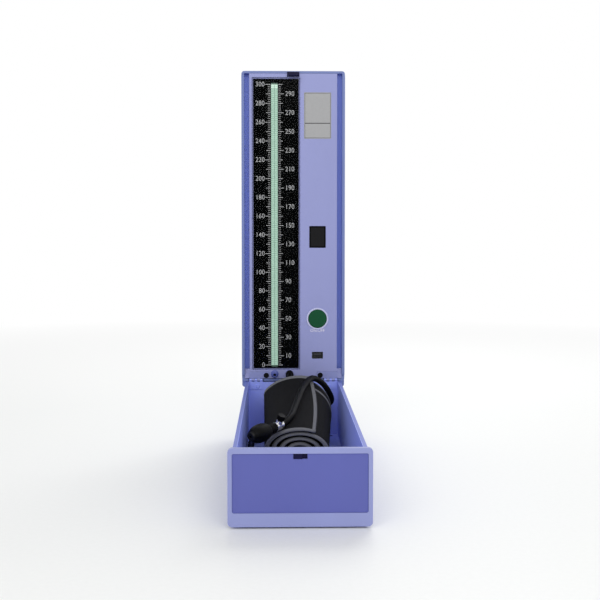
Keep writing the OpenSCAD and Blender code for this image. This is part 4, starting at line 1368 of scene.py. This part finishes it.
@dataclass
class Scale:
    """Lens, printed marks and numbers, and the lit blocks of the column."""

    zero: float = 16.0
    top: int = 300
    step: int = 2
    window: tuple[float, float, float, float] = (-44.1, 7.4, 11.1, 323.4)
    column: float = -20.0
    column_half: float = 3.65
    face: float = 1.2
    under: float = 0.12
    over: float = 0.05
    mark_gap: float = 0.55
    mark_lengths: Point = (2.7, 4.6, 5.6)
    mark_halves: Pair = (0.20, 0.30)
    left_edge: float = -30.4
    right_edge: float = -8.6
    digit: float = 5.2
    channel_end: float = 1.3
    channel_play: float = 0.1
    channel_depths: Pair = (-0.10, 0.6)
    block_gap: float = 0.16
    block_play: float = 0.2
    block_rise: Pair = (0.13, 1.87)
    block_depths: Pair = (-0.22, -0.05)
    bright: int = 4

    def _marks(self) -> None:
        """Ticks on both sides of the column."""
        shaper = Shaper("scale_marks")
        for pressure in range(0, self.top + 1, self.step):
            tens, twenties = pressure % 10 == 0, pressure % 20 == 0
            height, thick = self.zero + pressure, self.mark_halves[tens]
            for side in (-1, 1):
                reach = self.mark_lengths[tens + (tens and twenties == (side < 0))]
                start = self.column + side * (self.column_half + self.mark_gap)
                low, high = sorted((start, start + side * reach))
                shaper.block(on_lid(low, self.face - self.under, height - thick),
                             on_lid(high, self.face + self.over, height + thick))
        shaper.piece(Look.INK, "white", Body.LID, smooth=False)

    def _numbers(self) -> None:
        """Numbers every 20 mmHg, 10 apart from side to side."""
        columns = ((0, self.left_edge, Align.RIGHT), (10, self.right_edge, Align.LEFT))
        words = [Word(str(n), x, self.zero + n, self.digit, align)
                 for first, x, align in columns for n in range(first, self.top + 1, 20)]
        lettering("scale_numbers", words, self.face - self.under, Look.INK)

    def _column(self) -> None:
        """Two rows of lit blocks in a dull channel."""
        half, high = self.column_half - self.channel_play, self.zero + self.top + self.channel_end
        front, back = (self.face + depth for depth in self.channel_depths)
        channel = Shaper("light_channel").block(
            on_lid(self.column - half, front, self.zero - self.channel_end),
            on_lid(self.column + half, back, high))
        channel.piece(Look.CHANNEL, "diffuser", Body.LID, smooth=False)
        front, back = (self.face + depth for depth in self.block_depths)
        turn = self.top - self.bright
        for name, finish, first, last in (("lit_blocks", Look.LIT, 0, turn),
                                          ("first_lit_blocks", Look.TOP_LIT, turn, self.top)):
            shaper = Shaper(name)
            for pressure in range(first, last, self.step):
                low, high = (self.zero + pressure + rise for rise in self.block_rise)
                for side in (-1, 1):
                    ends = (side * self.block_gap, side * (self.column_half - self.block_play))
                    left, right = sorted(self.column + end for end in ends)
                    shaper.block(on_lid(left, front, low), on_lid(right, back, high))
            shaper.piece(finish, "diffuser", Body.LID, smooth=False)

    def _lens(self) -> None:
        """The clear window, with rounded corners and a bevelled rim."""
        steps = ((0.9, 0.0, 0.9), (0.35, 0.0, 0.9), (0.12, 0.12, 0.84), (0.02, 0.4, 0.7))
        slab("scale_lens", self.window, steps, Look.LENS, "scale_window")

    def build(self) -> None:
        """Prints the scale, fits the column and closes it with the lens."""
        self._marks()
        self._numbers()
        self._column()
        self._lens()


@dataclass
class Controls:
    """Small pieces of the panel: display face, caption and plate lines."""

    centre: float = 26.0
    display: Point = (153.8, 14.9, 20.6)
    caption: float = 53.2
    caption_size: float = 3.4
    plate: Point = (283.0, 28.8, 49.0)
    margin: float = 0.7
    line: float = 0.35
    line_depths: Pair = (-0.16, -0.05)
    caption_depth: float = -0.02
    rule: Pair = (-8.6, -7.7)

    def _bounds(self, middle: float, wide: float, high: float, inset: float = 0.0) -> tuple[float, ...]:
        """Left, right, low and high side of a rectangle on the controls' centre line."""
        return (self.centre - wide / 2 + inset, self.centre + wide / 2 - inset,
                middle - high / 2 + inset, middle + high / 2 - inset)

    def build(self) -> None:
        """Fits the display's face, the words under the power button and the plate's printed lines."""
        steps = ((1.4, 0.0, 0.5), (0.55, 0.0, 0.5), (0.42, 0.15, 0.5))
        slab("display_glass", self._bounds(*self.display), steps, Look.GLASS, "display_window")
        words = [Word("ON/OFF", self.centre, self.caption, self.caption_size, Align.CENTRE)]
        lettering("button_caption", words, self.caption_depth, Look.CAPTION)
        left, right, low, top = self._bounds(*self.plate, self.margin)
        thick, shaper = self.line, Shaper("plate_rules")
        bars = [(left, right, low, low + thick), (left, right, top - thick, top),
                (left, left + thick, low, top), (right - thick, right, low, top),
                (left, right, self.plate[0] + self.rule[0], self.plate[0] + self.rule[1])]
        for x0, x1, z0, z1 in bars:
            shaper.block(on_lid(x0, self.line_depths[0], z0), on_lid(x1, self.line_depths[1], z1))
        shaper.piece(Look.DARK_INK, "black", Body.LID, smooth=False)


class Dresser:
    """Gives every solid that stays in sight its finish and softened edges."""

    # Each finish with its solids, and the radius of their broken edges.
    PLAN: tuple[tuple[Finish, dict[str, float]], ...] = (
        (Look.TRAY, {"base_tray": 0.35, "hinge_leaf_base": 0.1, "hinge_screws_base": 0.1,
                     "latch_retainer": 0.2}),
        (Look.FRONT, {"front_frame": 0.5}),
        (Look.INLAY, {"front_inlay": 0.25}),
        (Look.STEEL, {"frame_screws": 0.0, "hinge_pins": 0.0, "latch_retainer_screws": 0.1,
                      "latch_spring": 0.0, "button_spring": 0.0, "battery_springs": 0.0,
                      "battery_contacts": 0.0, "panel_screws": 0.1}),
        (Look.FOOT, {"rubber_feet": 0.2}),
        (Look.CATCH, {"latch_slider": 0.15, "latch_striker": 0.2}),
        (Look.BLACK, {"bulb_inlet_valve": 0.15, "button_switch": 0.0, "pressure_sensor": 0.0, "buzzer": 0.0,
                      "battery_tray": 0.0}),
        (Look.CHROME, {"release_valve_body": 0.2}),
        (Look.KNOB, {"release_valve_screw": 0.15}),
        (Look.SHELL, {"lid_shell": 0.5, "battery_door": 0.25}),
        (Look.PANEL, {"instrument_panel": 0.4}),
        (Look.SCALE, {"scale_plate": 0.0}),
        (Look.CHANNEL, {"light_column": 0.0}),
        (Look.BOARD, {"led_board": 0.0, "control_board": 0.0}),
        (Look.CREAM, {"led_row": 0.0}),
        (Look.BEZEL, {"display_module": 0.25}),
        (Look.BUTTON, {"power_button": 0.25}),
        (Look.RING, {"button_bezel": 0.1}),
        (Look.SOCKET, {"usb_socket": 0.12}),
        (Look.PLATE, {"rating_plate": 0.08}),
        (Look.PORT, {"hose_port": 0.15, "test_port": 0.15}),
        (Look.CAP, {"hose_connector": 0.2, "hinge_screws_lid": 0.2}),
        (Look.TUBE, {"sensor_tube": 0.0}),
        (Look.CELL, {"batteries": 0.0}),
        (Look.LEAF, {"hinge_leaf_lid": 0.1}),
    )
    # Each pressed solid with its joint, the way it is pressed and the joint's travel.
    PRESSED: dict[str, tuple[str, Point, float]] = {
        "latch_spring": ("latch_slide", (1.0, 0.0, 0.0), 3.4),
        "button_spring": ("button_press", (0.0, 1.0, 0.0), 1.2),
        "button_switch": ("button_press", (0.0, 1.0, 0.0), 1.2),
    }
    WELD = 0.002
    SHARP = 38

    def build(self) -> None:
        """Dresses all the solids in the plan and gives the pressed ones their own mesh."""
        for finish, solids in self.PLAN:
            for name, edge in solids.items():
                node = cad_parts[name]
                node.data.materials.clear()
                node.data.materials.append(finish.material())
                if edge:
                    self._soften(node, edge * MM)
                LOG.info("%s: %s", name, finish.name)
        for name, (joint, axis, travel) in self.PRESSED.items():
            self._press(name, joint, axis, travel)

    @staticmethod
    def _press(name: str, joint: str, axis: Point, travel: float) -> None:
        """Gives a spring or a switch its own copy of its mesh.

        Args:
            name: The pressed solid.
            joint: The joint that presses it; not used.
            axis: The way it is pressed, towards its fixed end; not used.
            travel: The joint's travel; not used.
        """
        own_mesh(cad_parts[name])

    def _soften(self, node: bpy.types.Object, radius: float) -> None:
        """Welds a solid's faces and breaks its sharp edges.

        Args:
            node: The solid.
            radius: The radius of its broken edges, in metres.
        """
        node.modifiers.new("weld", "WELD").merge_threshold = self.WELD * MM
        bevel = node.modifiers.new("broken edges", "BEVEL")
        bevel.width, bevel.segments, bevel.limit_method = radius, 2, "ANGLE"
        bevel.angle_limit = math.radians(self.SHARP)
        bevel.use_clamp_overlap, bevel.harden_normals = True, False
        normals = node.modifiers.new("flat faces", "WEIGHTED_NORMAL")
        normals.keep_sharp, normals.weight = False, 100


def main() -> None:
    """Builds the scene: camera, hoses, the solids' finishes, soft pieces and prints."""
    logging.basicConfig(level=logging.INFO, format="%(message)s")
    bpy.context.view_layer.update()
    for part in (Studio, Hoses, Dresser, Cuff, Bulb, Scale, Controls):
        part().build()


if __name__ == "__main__":
    main()
